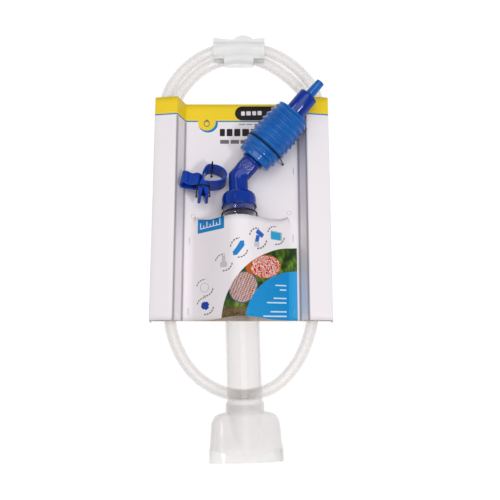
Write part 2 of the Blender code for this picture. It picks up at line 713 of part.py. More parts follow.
def extruded(name, loops, depth, material):
    """A flat shape bounded by one or more loops, raised along Z."""
    builder = bmesh.new()
    edges = []
    for loop in loops:
        corners = [builder.verts.new(point) for point in loop]
        edges += [builder.edges.new((corners[i - 1], corners[i])) for i in range(len(corners))]
    bmesh.ops.triangle_fill(builder, edges=edges, use_beauty=True)
    grown = bmesh.ops.extrude_face_region(builder, geom=list(builder.faces))
    lifted = [item for item in grown["geom"] if isinstance(item, bmesh.types.BMVert)]
    bmesh.ops.translate(builder, verts=lifted, vec=(0, 0, depth))
    return finish_mesh(name, builder, material, None)


def join_to(piece, other):
    """Add a hidden solid to a piece, as one body."""
    other.hide_render = True
    other.display_type = "WIRE"
    joined = piece.modifiers.new("join", "BOOLEAN")
    joined.operation = "UNION"
    joined.object = other


def make_clip(material):
    """The one-piece bucket clip: rim loop, squeeze legs, and the hose holder across them."""
    loop = clip_curve(CLIP_LOOP)
    clip = extruded("bucket_clip", [loop, inset_loop(loop, CLIP_WALL)], CLIP_WIDTH, material)
    legs = extruded("clip_legs", [clip_curve(CLIP_LEGS)], CLIP_WIDTH, material)
    other_half = [(-x, z) for x, z in HOLDER_HALF[:0:-1]]
    ring = clip_curve(HOLDER_HALF + tuple(other_half))
    holder = extruded("clip_holder", [ring, inset_loop(ring, CLIP_WALL)], HOLDER_LENGTH, material)
    clip.matrix_world = legs.matrix_world = clip_frame()
    holder.matrix_world = (
        clip_frame()
        @ Matrix.Translation(HOLDER_PLACE)
        @ Matrix.Rotation(HOLDER_TURN, 4, "Z")
        @ Matrix.Rotation(math.pi / 2, 4, "X")
        @ Matrix.Translation((0, 0, -HOLDER_LENGTH / 2))
    )
    join_to(clip, legs)
    join_to(clip, holder)


def strap_over(centre, axis, radius, floor):
    """A wire over the top half of a round piece, with both ends straight down to the card."""
    side = axis.cross(Vector((0, 0, 1))).normalized()
    up = side.cross(axis).normalized()
    arch = [
        centre + radius * (math.cos(math.pi * i / WIRE_STEPS) * side
                           + math.sin(math.pi * i / WIRE_STEPS) * up)
        for i in range(WIRE_STEPS + 1)
    ]
    drop = (centre.z - floor) / up.z
    spread = 1.5 * MM
    first = arch[0] - up * drop + side * spread
    last = arch[-1] - up * drop - side * spread
    return [first, *arch, last]


def make_ties(material, swivel):
    """Black wire ties: one over the bulb, one over the tube, and two on the bucket clip."""
    floor = FRONT_SHEET_Z + SHEET + FIT_GAP + WIRE_RADIUS
    tube_axis = TUBE_FRAME.to_3x3() @ Vector((0, 0, 1))
    bulb_axis = BULB_FRAME.to_3x3() @ Vector((0, 0, 1))
    valley = FIRST_RIDGE + 1.5 * RIDGE_PITCH
    bulb_centre = BULB_FRAME @ Vector((0, 0, valley))
    bulb_path = strap_over(
        bulb_centre, bulb_axis, ridge_radius(valley) - VALLEY_DEPTH + FIT_GAP + WIRE_RADIUS, floor
    )
    round_bar("bulb_tie", bulb_path, WIRE_RADIUS, material, swivel)
    tube_centre = TUBE_FRAME @ Vector((0, 0, -7.5 * MM))
    tube_path = strap_over(tube_centre, tube_axis, TUBE_RADIUS + FIT_GAP + WIRE_RADIUS, floor)
    round_bar("tube_tie", tube_path, WIRE_RADIUS, material)
    for name, line in CLIP_TIES.items():
        path = [clip_frame() @ Vector((x * MM, y * MM, height)) for x, y, height in line]
        path[0].z = path[-1].z = floor
        round_bar(name, path, WIRE_RADIUS, material)


def main():
    """Build every piece of the pack."""
    clear_scene()
    dark_blue = plastic("dark_blue", (0.006, 0.018, 0.26), 0.28)
    bulb_blue = plastic("bulb_blue", (0.01, 0.09, 0.5), 0.35)
    clear = plastic("clear_plastic", (0.86, 0.88, 0.89), 0.08)
    frosted = plastic("frosted_plastic", (0.86, 0.86, 0.86), 0.3)
    vinyl = plastic("hose_vinyl", (0.82, 0.82, 0.8), 0.2)
    white_card = plastic("white_card", (0.86, 0.84, 0.84), 0.5)
    kraft_card = plastic("kraft_card", (0.45, 0.33, 0.22), 0.8)
    black_wire = plastic("black_wire", (0.012, 0.01, 0.01), 0.45)
    steel = plastic("staple_steel", (0.6, 0.6, 0.62), 0.35, 1.0)
    rubber = plastic("seal_rubber", (0.02, 0.02, 0.02), 0.7)
    valve_white = plastic("valve_white", (0.8, 0.8, 0.78), 0.4)
    tube_axis = frame_empty("tube_axis", TUBE_FRAME)
    swivel = frame_empty("swivel_axis", SWIVEL_FRAME)
    bulb = frame_empty("bulb_axis", BULB_FRAME)
    bpy.context.view_layer.update()
    make_flat_sheets(white_card, kraft_card)
    make_columns(white_card)
    make_pocket(white_card)
    make_staples(steel)
    make_tube(clear, tube_axis)
    make_collar(dark_blue, tube_axis)
    make_guard(dark_blue, tube_axis)
    make_nozzle(frosted, tube_axis)
    make_elbow(dark_blue, swivel)
    make_seal(rubber, swivel)
    make_cage("inlet_valve_cage", INLET_CAGE_START, valve_white, bulb)
    make_ball("inlet_valve_ball", INLET_CAGE_START, valve_white, bulb)
    make_bellows(bulb_blue, bulb)
    make_outlet(dark_blue, bulb)
    make_cage("outlet_valve_cage", OUTLET_CAGE_START, valve_white, bulb)
    make_ball("outlet_valve_ball", OUTLET_CAGE_START, valve_white, bulb)
    make_tail(bulb_blue, bulb)
    make_hose(vinyl)
    make_band(clear)
    make_clip(dark_blue)
    make_ties(black_wire, swivel)


main()
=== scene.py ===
"""Looks of the packed gravel siphon: clear and blue plastics, printed card, hose, film and ties.

Lengths are in metres, in the frame of the CAD model. The places of the tube, the elbow and the
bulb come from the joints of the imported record.
"""
import json
import math

import bmesh
import bpy
import numpy as np
from mathutils import Matrix, Vector, noise

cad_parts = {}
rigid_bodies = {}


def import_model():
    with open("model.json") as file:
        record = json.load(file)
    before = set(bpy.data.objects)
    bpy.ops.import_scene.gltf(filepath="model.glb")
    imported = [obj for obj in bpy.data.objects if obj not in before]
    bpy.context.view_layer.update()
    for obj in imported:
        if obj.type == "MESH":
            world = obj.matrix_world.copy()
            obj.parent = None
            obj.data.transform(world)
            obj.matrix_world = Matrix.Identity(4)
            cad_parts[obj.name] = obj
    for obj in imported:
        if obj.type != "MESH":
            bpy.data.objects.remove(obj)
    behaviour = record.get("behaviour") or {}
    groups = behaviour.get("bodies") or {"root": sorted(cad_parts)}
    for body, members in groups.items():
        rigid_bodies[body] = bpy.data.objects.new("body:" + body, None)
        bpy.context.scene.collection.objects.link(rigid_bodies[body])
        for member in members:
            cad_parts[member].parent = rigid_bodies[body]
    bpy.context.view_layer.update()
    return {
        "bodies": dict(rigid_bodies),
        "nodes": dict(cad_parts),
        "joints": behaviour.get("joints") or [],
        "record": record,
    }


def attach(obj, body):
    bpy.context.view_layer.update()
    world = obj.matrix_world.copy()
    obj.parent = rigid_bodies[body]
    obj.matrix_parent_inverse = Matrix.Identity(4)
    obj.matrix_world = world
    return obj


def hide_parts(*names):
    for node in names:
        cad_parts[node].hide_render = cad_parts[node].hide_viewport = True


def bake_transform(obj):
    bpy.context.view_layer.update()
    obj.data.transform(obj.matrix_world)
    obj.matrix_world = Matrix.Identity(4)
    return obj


MM = 0.001
FIT_GAP = 0.3 * MM

# Display card.
CARD_HALF_WIDTH = 100 * MM
CARD_HALF_HEIGHT = 131 * MM
SHEET = 0.5 * MM
FRONT_Z = 1.5 * MM
FOOT_X = 65.5 * MM
CREST = (74 * MM, 24.5 * MM)
EDGE_Z = 20.5 * MM
POCKET_FOOT_X = 56 * MM
SLIT_Y = -17 * MM
SLIT_LINE = ((0, -17.0), (36, -16.6), (48, -14.0), (56, -5.6))
BACK_TRIM = 2.9 * MM
FRONT_TRIM = 3.1 * MM
CREASE_RADIUS = 1.3 * MM
POCKET_GAP = 2 * FIT_GAP + 0.6 * MM
STAPLE_PLACES = ((60.0, 47.5), (-58.8, -37.0), (58.6, -33.5), (-58.8, -118.0), (58.6, -118.0))

# Tube, collar and nozzle, as heights along the tube's axis from the collar's rim.
TUBE_RADIUS = 18.3 * MM
TUBE_WALL = 1.4 * MM
TUBE_TOP = 9.4 * MM
TUBE_END = -227.6 * MM
TUBE_TIE = -7.5 * MM
COLLAR_TOP = 17.5 * MM
SLEEVE_TOP = -216.7 * MM
NOZZLE_END = -277 * MM
NOZZLE_WALL = 1.4 * MM
NOZZLE_SQUARENESS = 3.2
TUBE_STOP = -227.9 * MM
STOP_DEPTH = 1.4 * MM
LIP_START = -240 * MM
GUARD_FLOOR = -5.5 * MM
BEND_HEIGHT = 37.4 * MM
STEM_RADIUS = 10.85 * MM
BORE_RADIUS = 6.2 * MM
CAGE_BORE = 7.35 * MM

# Bulb and outlet, as distances along the bulb's axis from the elbow's bend.
BULB_START = 26.0 * MM
BULB_END = 96.2 * MM
RIDGE_RADIUS = 20.8 * MM
RIDGE_SWELL = 3.4 * MM
VALLEY_DEPTH = 1.8 * MM
CUFF_RADIUS = 20.4 * MM
BULB_WALL = 1.5 * MM
BULB_INSIDE_RADIUS = 17.2 * MM
BULB_HOLE_RADIUS = 9.8 * MM
RIDGE_COUNT = 9
RIDGE_PITCH = 6.75 * MM
FIRST_RIDGE = BULB_START + 10.2 * MM
CONNECTOR_END = 123.3 * MM
CONNECTOR_RADIUS = 11.3 * MM
TAIL_START = 111.5 * MM
TAIL_END = 143.2 * MM

# Hose, film band, clip and ties.
HOSE_RADIUS = 6.5 * MM
HOSE_WALL = 1.6 * MM
HOSE_HEIGHT = 7.3 * MM
BAND_LEFT = -34 * MM
BAND_RIGHT = 27 * MM
BAND_SEAL_Y = 209.5 * MM
BAND_THICKNESS = 0.12 * MM
WIRE_RADIUS = 0.8 * MM
WIRE_SPREAD = 1.5 * MM
SQUEEZE_ROOM = 1.6 * MM
WIRE_BEAD = ((0, 0.5), (0.2, 1.0), (0.6, 1.3), (1.1, 1.3), (1.5, 1.0), (1.8, 0.8))
CLIP_WIDTH = 18 * MM
CLIP_WALL = 1.9 * MM
OVER_CLIP = CLIP_WIDTH + FIT_GAP + WIRE_RADIUS

# The hose's centreline seen from the front, in millimetres, as in the CAD model.
HOSE_ROUTE = (
    (76.3, 96), (76.4, 115), (76.1, 131), (71.8, 143), (63.2, 154), (52.4, 164.4), (37.6, 175.6),
    (18.4, 184.8), (-2.4, 187.6), (-23.0, 184.6), (-41.6, 176.2), (-56.0, 164.4), (-66.2, 152),
    (-73.2, 141), (-76.7, 129), (-77.2, 104), (-77.2, 50), (-78.2, -10), (-79.0, -70),
    (-79.0, -110), (-77.6, -132), (-72.6, -151), (-63.0, -171), (-50.0, -187.4), (-33.0, -200.2),
    (-15.0, -207.6), (4.4, -210.0), (22.6, -206.6), (36.6, -200.4), (48.4, -190.4), (62.0, -173),
    (72.0, -152), (78.0, -130), (80.6, -105), (83.4, -50), (86.6, 10), (89.6, 70), (90.2, 110),
    (89.6, 131), (85.0, 147), (75.6, 162), (62.4, 176.6), (45.4, 189.2), (25.0, 198.0),
    (-2.6, 201.8), (-30.2, 197.8), (-49.6, 188.8), (-66.6, 174.6), (-79.0, 158.4), (-86.8, 142.4),
    (-90.0, 126), (-90.4, 96),
)

# The bucket clip's outlines in its own frame, in millimetres, as in the CAD model.
CLIP_LOOP = (
    (-29.0, -25.2), (-22.6, -26.3), (-16.7, -26.0), (-10.4, -25.0), (-6.2, -23.0), (-2.4, -19.2),
    (-1.2, -14.5), (-2.4, -10.2), (-5.4, -6.2), (-9.8, -3.2), (-15.4, -1.8), (-21.4, -1.4),
    (-25.4, -4.4), (-28.2, -10.0), (-29.7, -17.0),
)
CLIP_LEGS = (
    (-31.0, -24.0), (-32.6, -33.0), (-34.2, -41.4), (-32.2, -44.0), (-30.2, -41.8),
    (-28.2, -33.4), (-26.1, -41.8), (-23.9, -44.0), (-21.8, -41.0), (-23.4, -33.0),
    (-25.0, -24.8),
)
HOLDER_HALF = (
    (0, 12.5), (2.2, 13.1), (5.2, 14.9), (8.4, 14.6), (10.9, 12.4), (11.5, 8.4), (10.8, 4.4),
    (8, 2.3),
)
HOLDER_PLACE = Vector((-41.7, -18.6, 0)) * MM
HOLDER_LENGTH = 15.3 * MM
HOLDER_TURN = math.radians(-9)
CLIP_TIES = {
    "clip_loop_tie": ((-18, 1.2, 0), (-18, 0.6, OVER_CLIP), (-18, -5.0, OVER_CLIP), (-18, -5.4, 0)),
    "clip_leg_tie": (
        (-35.7, -30.0, 0), (-35.3, -30.8, 0.6 * OVER_CLIP), (-33.7, -31.4, 0.93 * OVER_CLIP),
        (-28.0, -31.6, OVER_CLIP + 1.4 * MM), (-22.3, -31.4, 0.93 * OVER_CLIP),
        (-20.8, -30.8, 0.6 * OVER_CLIP), (-20.5, -30.0, 0),
    ),
}
CLIP_FRAME = (
    Matrix.Translation(Vector((-17, 45.5, 2.1)) * MM)
    @ Matrix.Rotation(math.radians(6), 4, "Y")
    @ Matrix.Rotation(math.radians(-15), 4, "X")
)

# Card print: linear colours.
CARD_WHITE = (0.83, 0.79, 0.815)
HEADER_YELLOW = (0.86, 0.62, 0.02)
PRINT_BLUE = (0.004, 0.215, 0.54)
PRINT_BLACK = (0.012, 0.008, 0.012)
PRINT_GREY = (0.16, 0.14, 0.16)
ICON_PALE = (0.55, 0.53, 0.56)

# The middles of the six printed icons, in millimetres.
ICON_PLACES = ((-19.0, -63.5), (-2.6, -49.0), (18.4, -38.6), (38.6, -33.0), (-40.2, -91.0), (-39.4, -111.5))

# Clear plastics: the light let through, the haze's colour, how much of the surface it covers
# seen square on and at a slant, and the gloss's roughness.
CLEAR_LOOKS = {
    "hose_vinyl": ((0.990, 0.986, 0.982), (0.88, 0.86, 0.85), (0.2, 0.45), 0.15),
    "clear_film": ((1.0, 1.0, 1.0), (0.98, 0.98, 0.98), (0.76, 0.84), 0.08),
    "clear_plastic": ((0.962, 0.955, 0.953), (0.84, 0.82, 0.82), (0.004, 0.2), 0.04),
    "frosted_plastic": ((0.965, 0.959, 0.958), (0.92, 0.90, 0.90), (0.28, 0.6), 0.12),
}

# Other plastics, wire and rubber: two colours to drift between, the roughness, and what else is set.
SOFT = {"Subsurface_Radius": (0.2, 0.4, 1.0), "Subsurface_Scale": 2 * MM, "Specular_IOR_Level": 0.4}
MOULDED_LOOKS = {
    "dark_blue": ((0.0005, 0.036, 0.32), (0.0003, 0.024, 0.24), 0.1, {"Specular_IOR_Level": 0.28}),
    "clip_blue": ((0.002, 0.055, 0.43), (0.001, 0.036, 0.33), 0.1, SOFT | {"Subsurface_Weight": 0.25}),
    "bulb_blue": ((0.002, 0.125, 0.46), (0.001, 0.095, 0.38), 0.09, SOFT | {"Subsurface_Weight": 0.2}),
    "black_wire": ((0.012, 0.009, 0.008), (0.006, 0.005, 0.004), 0.3, {"Specular_IOR_Level": 0.2}),
    "staple_steel": ((0.62, 0.62, 0.64), (0.5, 0.5, 0.52), 0.3, {"Metallic": 1.0}),
    "seal_rubber": ((0.02, 0.02, 0.02), (0.012, 0.012, 0.012), 0.7, {}),
    "valve_white": ((0.8, 0.8, 0.78), (0.74, 0.74, 0.72), 0.4, {}),
}


# ---- frames and meshes

def clamped(value):
    """A value held between 0 and 1."""
    return max(0.0, min(1.0, value))


def axis_of(frame):
    """The direction of a frame's Z axis."""
    return frame.to_3x3() @ Vector((0, 0, 1))


def axes_frame(origin, z_axis, x_hint):
    """A frame whose Z runs along an axis and whose X is the hint made square to it."""
    z_axis = z_axis.normalized()
    x_axis = (x_hint - z_axis * x_hint.dot(z_axis)).normalized()
    y_axis = z_axis.cross(x_axis)
    turn = Matrix((x_axis, y_axis, z_axis)).transposed().to_4x4()
    return Matrix.Translation(origin) @ turn


def read_frames(joints):
    """The frames of the tube, of the swivelling stem and of the bulb, from the joints."""
    by_name = {joint["name"]: joint for joint in joints}
    rim = Vector(by_name["elbow_swivel"]["pos_m"])
    tube_axis = -Vector(by_name["elbow_swivel"]["axis"])
    bulb_axis = -Vector(by_name["bulb_squeeze"]["axis"])
    level = tube_axis.cross(Vector((0, 0, 1)))
    tube = axes_frame(rim, tube_axis, level)
    swivel = axes_frame(rim, tube_axis, bulb_axis)
    bend = swivel @ Vector((0, 0, BEND_HEIGHT))
    square = bulb_axis * tube_axis.dot(bulb_axis) - tube_axis
    bulb = axes_frame(bend, bulb_axis, square)
    return tube, swivel, bulb


def linked(name, data):
    """A new object in the scene."""
    made = bpy.data.objects.new(name, data)
    bpy.context.scene.collection.objects.link(made)
    return made


def mesh_object(name, builder, material, matrix=None, sharp=40):
    """Turn a bmesh into a smooth-shaded object, placed by a matrix, with its faces pointing out."""
    bmesh.ops.recalc_face_normals(builder, faces=builder.faces)
    mesh = bpy.data.meshes.new(name)
    builder.to_mesh(mesh)
    builder.free()
    mesh.shade_smooth()
    mesh.set_sharp_from_angle(angle=math.radians(sharp))
    mesh.materials.append(material)
    made = linked(name, mesh)
    if matrix is not None:
        made.matrix_world = matrix
    return made


def grid_faces(builder, loops, closed_rings=True, closed_stack=False):
    """Quads between neighbouring loops of vertices."""
    pairs = list(zip(loops, loops[1:]))
    if closed_stack:
        pairs.append((loops[-1], loops[0]))
    for near, far in pairs:
        count = len(near) if closed_rings else len(near) - 1
        for i in range(count):
            j = (i + 1) % len(near)
            builder.faces.new((near[i], near[j], far[j], far[i]))


def lofted(name, rings, material, matrix=None, capped=False, sharp=40):
    """Join rings of points with quads, either back to the first ring or with a cap at both ends."""
    builder = bmesh.new()
    loops = [[builder.verts.new(point) for point in ring] for ring in rings]
    grid_faces(builder, loops, closed_stack=not capped)
    if capped:
        builder.faces.new(loops[0])
        builder.faces.new(loops[-1])
    return mesh_object(name, builder, material, matrix, sharp)


def turned(name, profile, material, matrix, sides=96, ripple=None):
    """Turn a closed (height, radius) profile round Z. A ripple changes the radius by place."""
    rings = []
    for height, radius in profile:
        ring = []
        for i in range(sides):
            angle = math.tau * i / sides
            reach = radius + (ripple(height, radius, angle) if ripple else 0.0)
            ring.append((reach * math.cos(angle), reach * math.sin(angle), height))
        rings.append(ring)
    return lofted(name, rings, material, matrix)


def smooth_path(points, steps, closed=False):
    """Catmull-Rom points through a list of vectors, with a number of steps for each span."""
    count = len(points)
    spans = count if closed else count - 1

    def at(index):
        """A point, or the nearest one that the path has."""
        return points[index % count] if closed else points[max(0, min(count - 1, index))]

    path = []
    for i in range(spans):
        before, start, end, after = at(i - 1), at(i), at(i + 1), at(i + 2)
        for step in range(steps):
            t = step / steps
            path.append(0.5 * (
                2 * start
                + (end - before) * t
                + (2 * before - 5 * start + 4 * end - after) * t ** 2
                + (3 * start - before - 3 * end + after) * t ** 3
            ))
    if not closed:
        path.append(points[-1].copy())
    return path


def softened(profile, radius, steps=3):
    """A closed (height, radius) profile with each corner rounded by a short curve."""
    points = [Vector(p) for p in profile]
    rounded = []
    for i, corner in enumerate(points):
        before, after = points[i - 1], points[(i + 1) % len(points)]
        reach_in = min(radius, 0.45 * (before - corner).length)
        reach_out = min(radius, 0.45 * (after - corner).length)
        start = corner + (before - corner).normalized() * reach_in
        end = corner + (after - corner).normalized() * reach_out
        for step in range(steps + 1):
            t = step / steps
            rounded.append(start * (1 - t) ** 2 + corner * 2 * t * (1 - t) + end * t ** 2)
    return [(p.x, p.y) for p in rounded]


def tube_along(name, path, radius, material, wall=None, sides=24, radii=None):
    """A round bar, or a hollow tube if it has a wall, swept along world points."""
    tangents = []
    for i in range(len(path)):
        tangents.append((path[min(i + 1, len(path) - 1)] - path[max(i - 1, 0)]).normalized())
    normal = tangents[0].orthogonal().normalized()
    frames = []
    for tangent in tangents:
        normal = (normal - tangent * normal.dot(tangent)).normalized()
        frames.append((normal, tangent.cross(normal)))

    def ring(index, reach):
        """A circle round one of the path's points."""
        across, out = frames[index]
        return [
            path[index] + reach * (math.cos(math.tau * i / sides) * across
                                   + math.sin(math.tau * i / sides) * out)
            for i in range(sides)
        ]

    rings = [ring(i, radii[i] if radii else radius) for i in range(len(path))]
    if wall:
        rings += [ring(i, radius - wall) for i in reversed(range(len(path)))]
    return lofted(name, rings, material, capped=not wall)


def soften_edges(piece, width, angle=30):
    """Round the edges that are sharper than an angle in degrees."""
    soften = piece.modifiers.new("soften", "BEVEL")
    soften.width = width
    soften.segments = 2
    soften.angle_limit = math.radians(angle)


def thicken(piece, thickness, offset):
    """Give a sheet its thickness."""
    thick = piece.modifiers.new("thickness", "SOLIDIFY")
    thick.thickness = thickness
    thick.offset = offset
    return thick


def finish_piece(piece, body, slot, *nodes):
    """Ride on a body and stand for CAD nodes. The slot is not used."""
    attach(piece, body)
    if nodes:
        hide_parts(*nodes)


def stretch_with_bulb(piece, frame, node):
    """Bake the piece's place into its mesh, and hide the CAD node it stands for."""
    start, end = frame @ Vector((0, 0, BULB_START)), frame @ Vector((0, 0, BULB_END))
    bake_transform(piece)
    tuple(start)
    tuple(end)
    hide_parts(node)


# ---- materials

class Graph:
    """Short calls for building one material's nodes."""

    def __init__(self, material_name, **sockets):
        self.material = bpy.data.materials.new(material_name)
        self.material.use_nodes = True
        self.tree = self.material.node_tree
        self.shader = self.tree.nodes["Principled BSDF"]
        for name, value in sockets.items():
            self.put(name.replace("_", " "), value)

    def node(self, kind, inputs=None, **settings):
        """Add a node with its settings, and feed its inputs by their names or numbers."""
        made = self.tree.nodes.new(kind)
        for key, value in settings.items():
            setattr(made, key, value)
        for key, value in (inputs or {}).items():
            self.feed(made.inputs[key], value)
        return made

    def feed(self, socket, value):
        """Link an output to a socket, or set the socket to a constant."""
        if isinstance(value, bpy.types.NodeSocket):
            self.tree.links.new(value, socket)
        elif socket.type == "RGBA":
            socket.default_value = (*value, 1.0)
        else:
            socket.default_value = value

    def put(self, name, value):
        """Feed one of the shader's own sockets."""
        self.feed(self.shader.inputs[name], value)

    def shade(self, share, first, second):
        """Mix two shaders."""
        return self.node("ShaderNodeMixShader", {0: share, 1: first.outputs[0], 2: second.outputs[0]})

    def surface(self, shader):
        """Use a shader as the material's surface."""
        self.feed(self.tree.nodes["Material Output"].inputs["Surface"], shader.outputs[0])

    def math(self, operation, *values):
        """The result of a sum on values and outputs."""
        return self.node("ShaderNodeMath", dict(enumerate(values)), operation=operation).outputs[0]

    def length(self, x, y):
        """How long the vector (x, y) is."""
        squares = self.math("ADD", self.math("MULTIPLY", x, x), self.math("MULTIPLY", y, y))
        return self.math("SQRT", squares)

    def mix(self, factor, first, second):
        """Mix two colours."""
        made = self.node("ShaderNodeMix", {"Factor": factor, 6: first, 7: second}, data_type="RGBA")
        return made.outputs[2]

    def coordinates(self, scale=1.0, stretch=(1, 1, 1)):
        """Object coordinates, scaled, as a vector."""
        place = self.node("ShaderNodeTexCoord").outputs["Object"]
        sizes = [scale * s for s in stretch]
        return self.node("ShaderNodeMapping", {"Vector": place, "Scale": sizes}).outputs["Vector"]

    def noise(self, vector, scale, detail=2.0, roughness=0.5):
        """Cloudy noise."""
        inputs = {"Vector": vector, "Scale": scale, "Detail": detail, "Roughness": roughness}
        return self.node("ShaderNodeTexNoise", inputs).outputs["Fac"]

    def cells(self, vector, scale):
        """The distance to the nearest of many scattered points."""
        return self.node("ShaderNodeTexVoronoi", {"Vector": vector, "Scale": scale}).outputs["Distance"]

    def span(self, value, low, high, to_low=0.0, to_high=1.0):
        """Map a value's range to another range, clamped."""
        inputs = {"Value": value, "From Min": low, "From Max": high, "To Min": to_low, "To Max": to_high}
        return self.node("ShaderNodeMapRange", inputs).outputs["Result"]

    def bump(self, height, distance, strength):
        """Roughen the surface by a height."""
        inputs = {"Height": height, "Distance": distance, "Strength": strength}
        self.put("Normal", self.node("ShaderNodeBump", inputs).outputs["Normal"])


def moulded(name, color, deep, roughness, **sockets):
    """Moulded plastic: faint flow marks in its colour, fine texture and a varying gloss."""
    graph = Graph(name, **sockets)
    place = graph.coordinates(1000)
    cloud = graph.noise(place, 0.09, 3.0)
    graph.put("Base Color", graph.mix(graph.span(cloud, 0.35, 0.7), deep, color))
    speck = graph.noise(place, 1.6, 4.0)
    graph.put("Roughness", graph.span(speck, 0.3, 0.75, roughness * 0.8, roughness * 1.35))
    graph.bump(graph.math("ADD", cloud, graph.math("MULTIPLY", speck, 0.06)), 0.06 * MM, 0.4)
    return graph.material


def clear_plastic(name, passed, pale, cover, polish):
    """Clear plastic: a tinted window with pale haze that grows at a slant, under a thin gloss."""
    graph = Graph(name, Roughness=0.5, Specular_IOR_Level=0.2)
    cloud = graph.noise(graph.coordinates(1000), 0.06, 3.0)
    dull = tuple(channel * 0.95 for channel in pale)
    graph.put("Base Color", graph.mix(graph.span(cloud, 0.3, 0.7), pale, dull))
    window = graph.node("ShaderNodeBsdfTransparent", {"Color": passed})
    gloss = graph.node("ShaderNodeBsdfGlossy", {"Roughness": polish})
    slant = graph.node("ShaderNodeLayerWeight", {"Blend": 0.5}).outputs["Facing"]
    haze = graph.math("ADD", graph.span(slant, 0.0, 1.0, *cover), graph.span(cloud, 0.3, 0.7, 0.0, 0.006))
    shine = graph.math("ADD", graph.math("MULTIPLY", graph.math("POWER", slant, 4.0), 0.4), 0.008)
    graph.surface(graph.shade(shine, graph.shade(haze, window, graph.shader), gloss))
    return graph.material


# ---- the card's print

class Print:
    """Shapes printed on the card, as masks worked out from object coordinates in millimetres."""

    def __init__(self, graph):
        self.graph = graph
        self.place = graph.coordinates(1000)
        split = graph.node("ShaderNodeSeparateXYZ", {0: self.place}).outputs
        # The pocket's print slides down the card where the pocket stands up from it.
        lean = graph.span(split[1], -25.0, -55.0, 0.0, 0.18)
        rise = graph.math("MAXIMUM", graph.math("SUBTRACT", split[2], FRONT_Z / MM), 0.0)
        self.x = split[0]
        self.y = graph.math("ADD", split[1], graph.math("MULTIPLY", rise, lean))
        self.color = CARD_WHITE

    def local(self, cx, cy, turn=0.0):
        """Coordinates about a centre, turned by an angle in degrees."""
        m = self.graph.math
        x, y = m("SUBTRACT", self.x, cx), m("SUBTRACT", self.y, cy)
        if not turn:
            return x, y
        c, s = math.cos(math.radians(turn)), math.sin(math.radians(turn))
        along = m("ADD", m("MULTIPLY", x, c), m("MULTIPLY", y, s))
        across = m("SUBTRACT", m("MULTIPLY", y, c), m("MULTIPLY", x, s))
        return along, across

    def edge(self, distance, soft=0.12):
        """1 inside a shape whose signed distance is negative inside."""
        return self.graph.span(distance, -soft, soft, 1.0, 0.0)

    def box(self, cx, cy, half_width, half_height, radius=0.0, turn=0.0):
        """A box with rounded corners."""
        m = self.graph.math
        x, y = self.local(cx, cy, turn)
        dx = m("SUBTRACT", m("ABSOLUTE", x), half_width - radius)
        dy = m("SUBTRACT", m("ABSOLUTE", y), half_height - radius)
        if not radius:
            return self.edge(m("MAXIMUM", dx, dy))
        corner = self.graph.length(m("MAXIMUM", dx, 0.0), m("MAXIMUM", dy, 0.0))
        inner = m("MINIMUM", m("MAXIMUM", dx, dy), 0.0)
        return self.edge(m("SUBTRACT", m("ADD", corner, inner), radius))

    def ellipse(self, cx, cy, rx, ry, turn=0.0, soft=0.12):
        """An ellipse with its two radii."""
        m = self.graph.math
        x, y = self.local(cx, cy, turn)
        reach = self.graph.length(m("DIVIDE", x, rx), m("DIVIDE", y, ry))
        return self.edge(m("MULTIPLY", m("SUBTRACT", reach, 1.0), min(rx, ry)), soft)

    def arc(self, cx, cy, radius, width, start, sweep):
        """A short curved line of dashes, from a start angle through a sweep, both in degrees."""
        m = self.graph.math
        middle = math.radians(start + sweep / 2)
        x, y = self.local(cx, cy)
        reach = self.graph.length(x, y)
        ring = self.edge(m("SUBTRACT", m("ABSOLUTE", m("SUBTRACT", reach, radius)), width / 2))
        toward = m("ADD", m("MULTIPLY", x, math.cos(middle)), m("MULTIPLY", y, math.sin(middle)))
        within = m("GREATER_THAN", m("DIVIDE", toward, radius), math.cos(math.radians(sweep / 2)))
        waves = m("SINE", m("MULTIPLY", m("ARCTAN2", y, x), radius * 2.0))
        return self.both(self.both(ring, within), self.graph.span(waves, -0.7, -0.4))

    def above(self, height):
        """1 where y is above a height."""
        return self.edge(self.graph.math("SUBTRACT", height, self.y))

    def both(self, first, second):
        """1 where both masks are 1."""
        return self.graph.math("MULTIPLY", first, second)

    def either(self, first, second):
        """1 where one of the masks is 1."""
        return self.graph.math("MAXIMUM", first, second)

    def outside(self, mask):
        """1 where a mask is 0."""
        return self.graph.math("SUBTRACT", 1.0, mask)

    def ink(self, mask, color):
        """Lay a colour over what is printed so far."""
        self.color = self.graph.mix(mask, self.color, color)

    def boxes(self, color, *rows):
        """Ink one box after another in a colour, each given as for box()."""
        for row in rows:
            self.ink(self.box(*row), color)

    def bars(self, color, y, half_height, radius, *bars):
        """Ink a row of bars, each given as its middle and its half width."""
        self.boxes(color, *((x, y, half, half_height, radius) for x, half in bars))


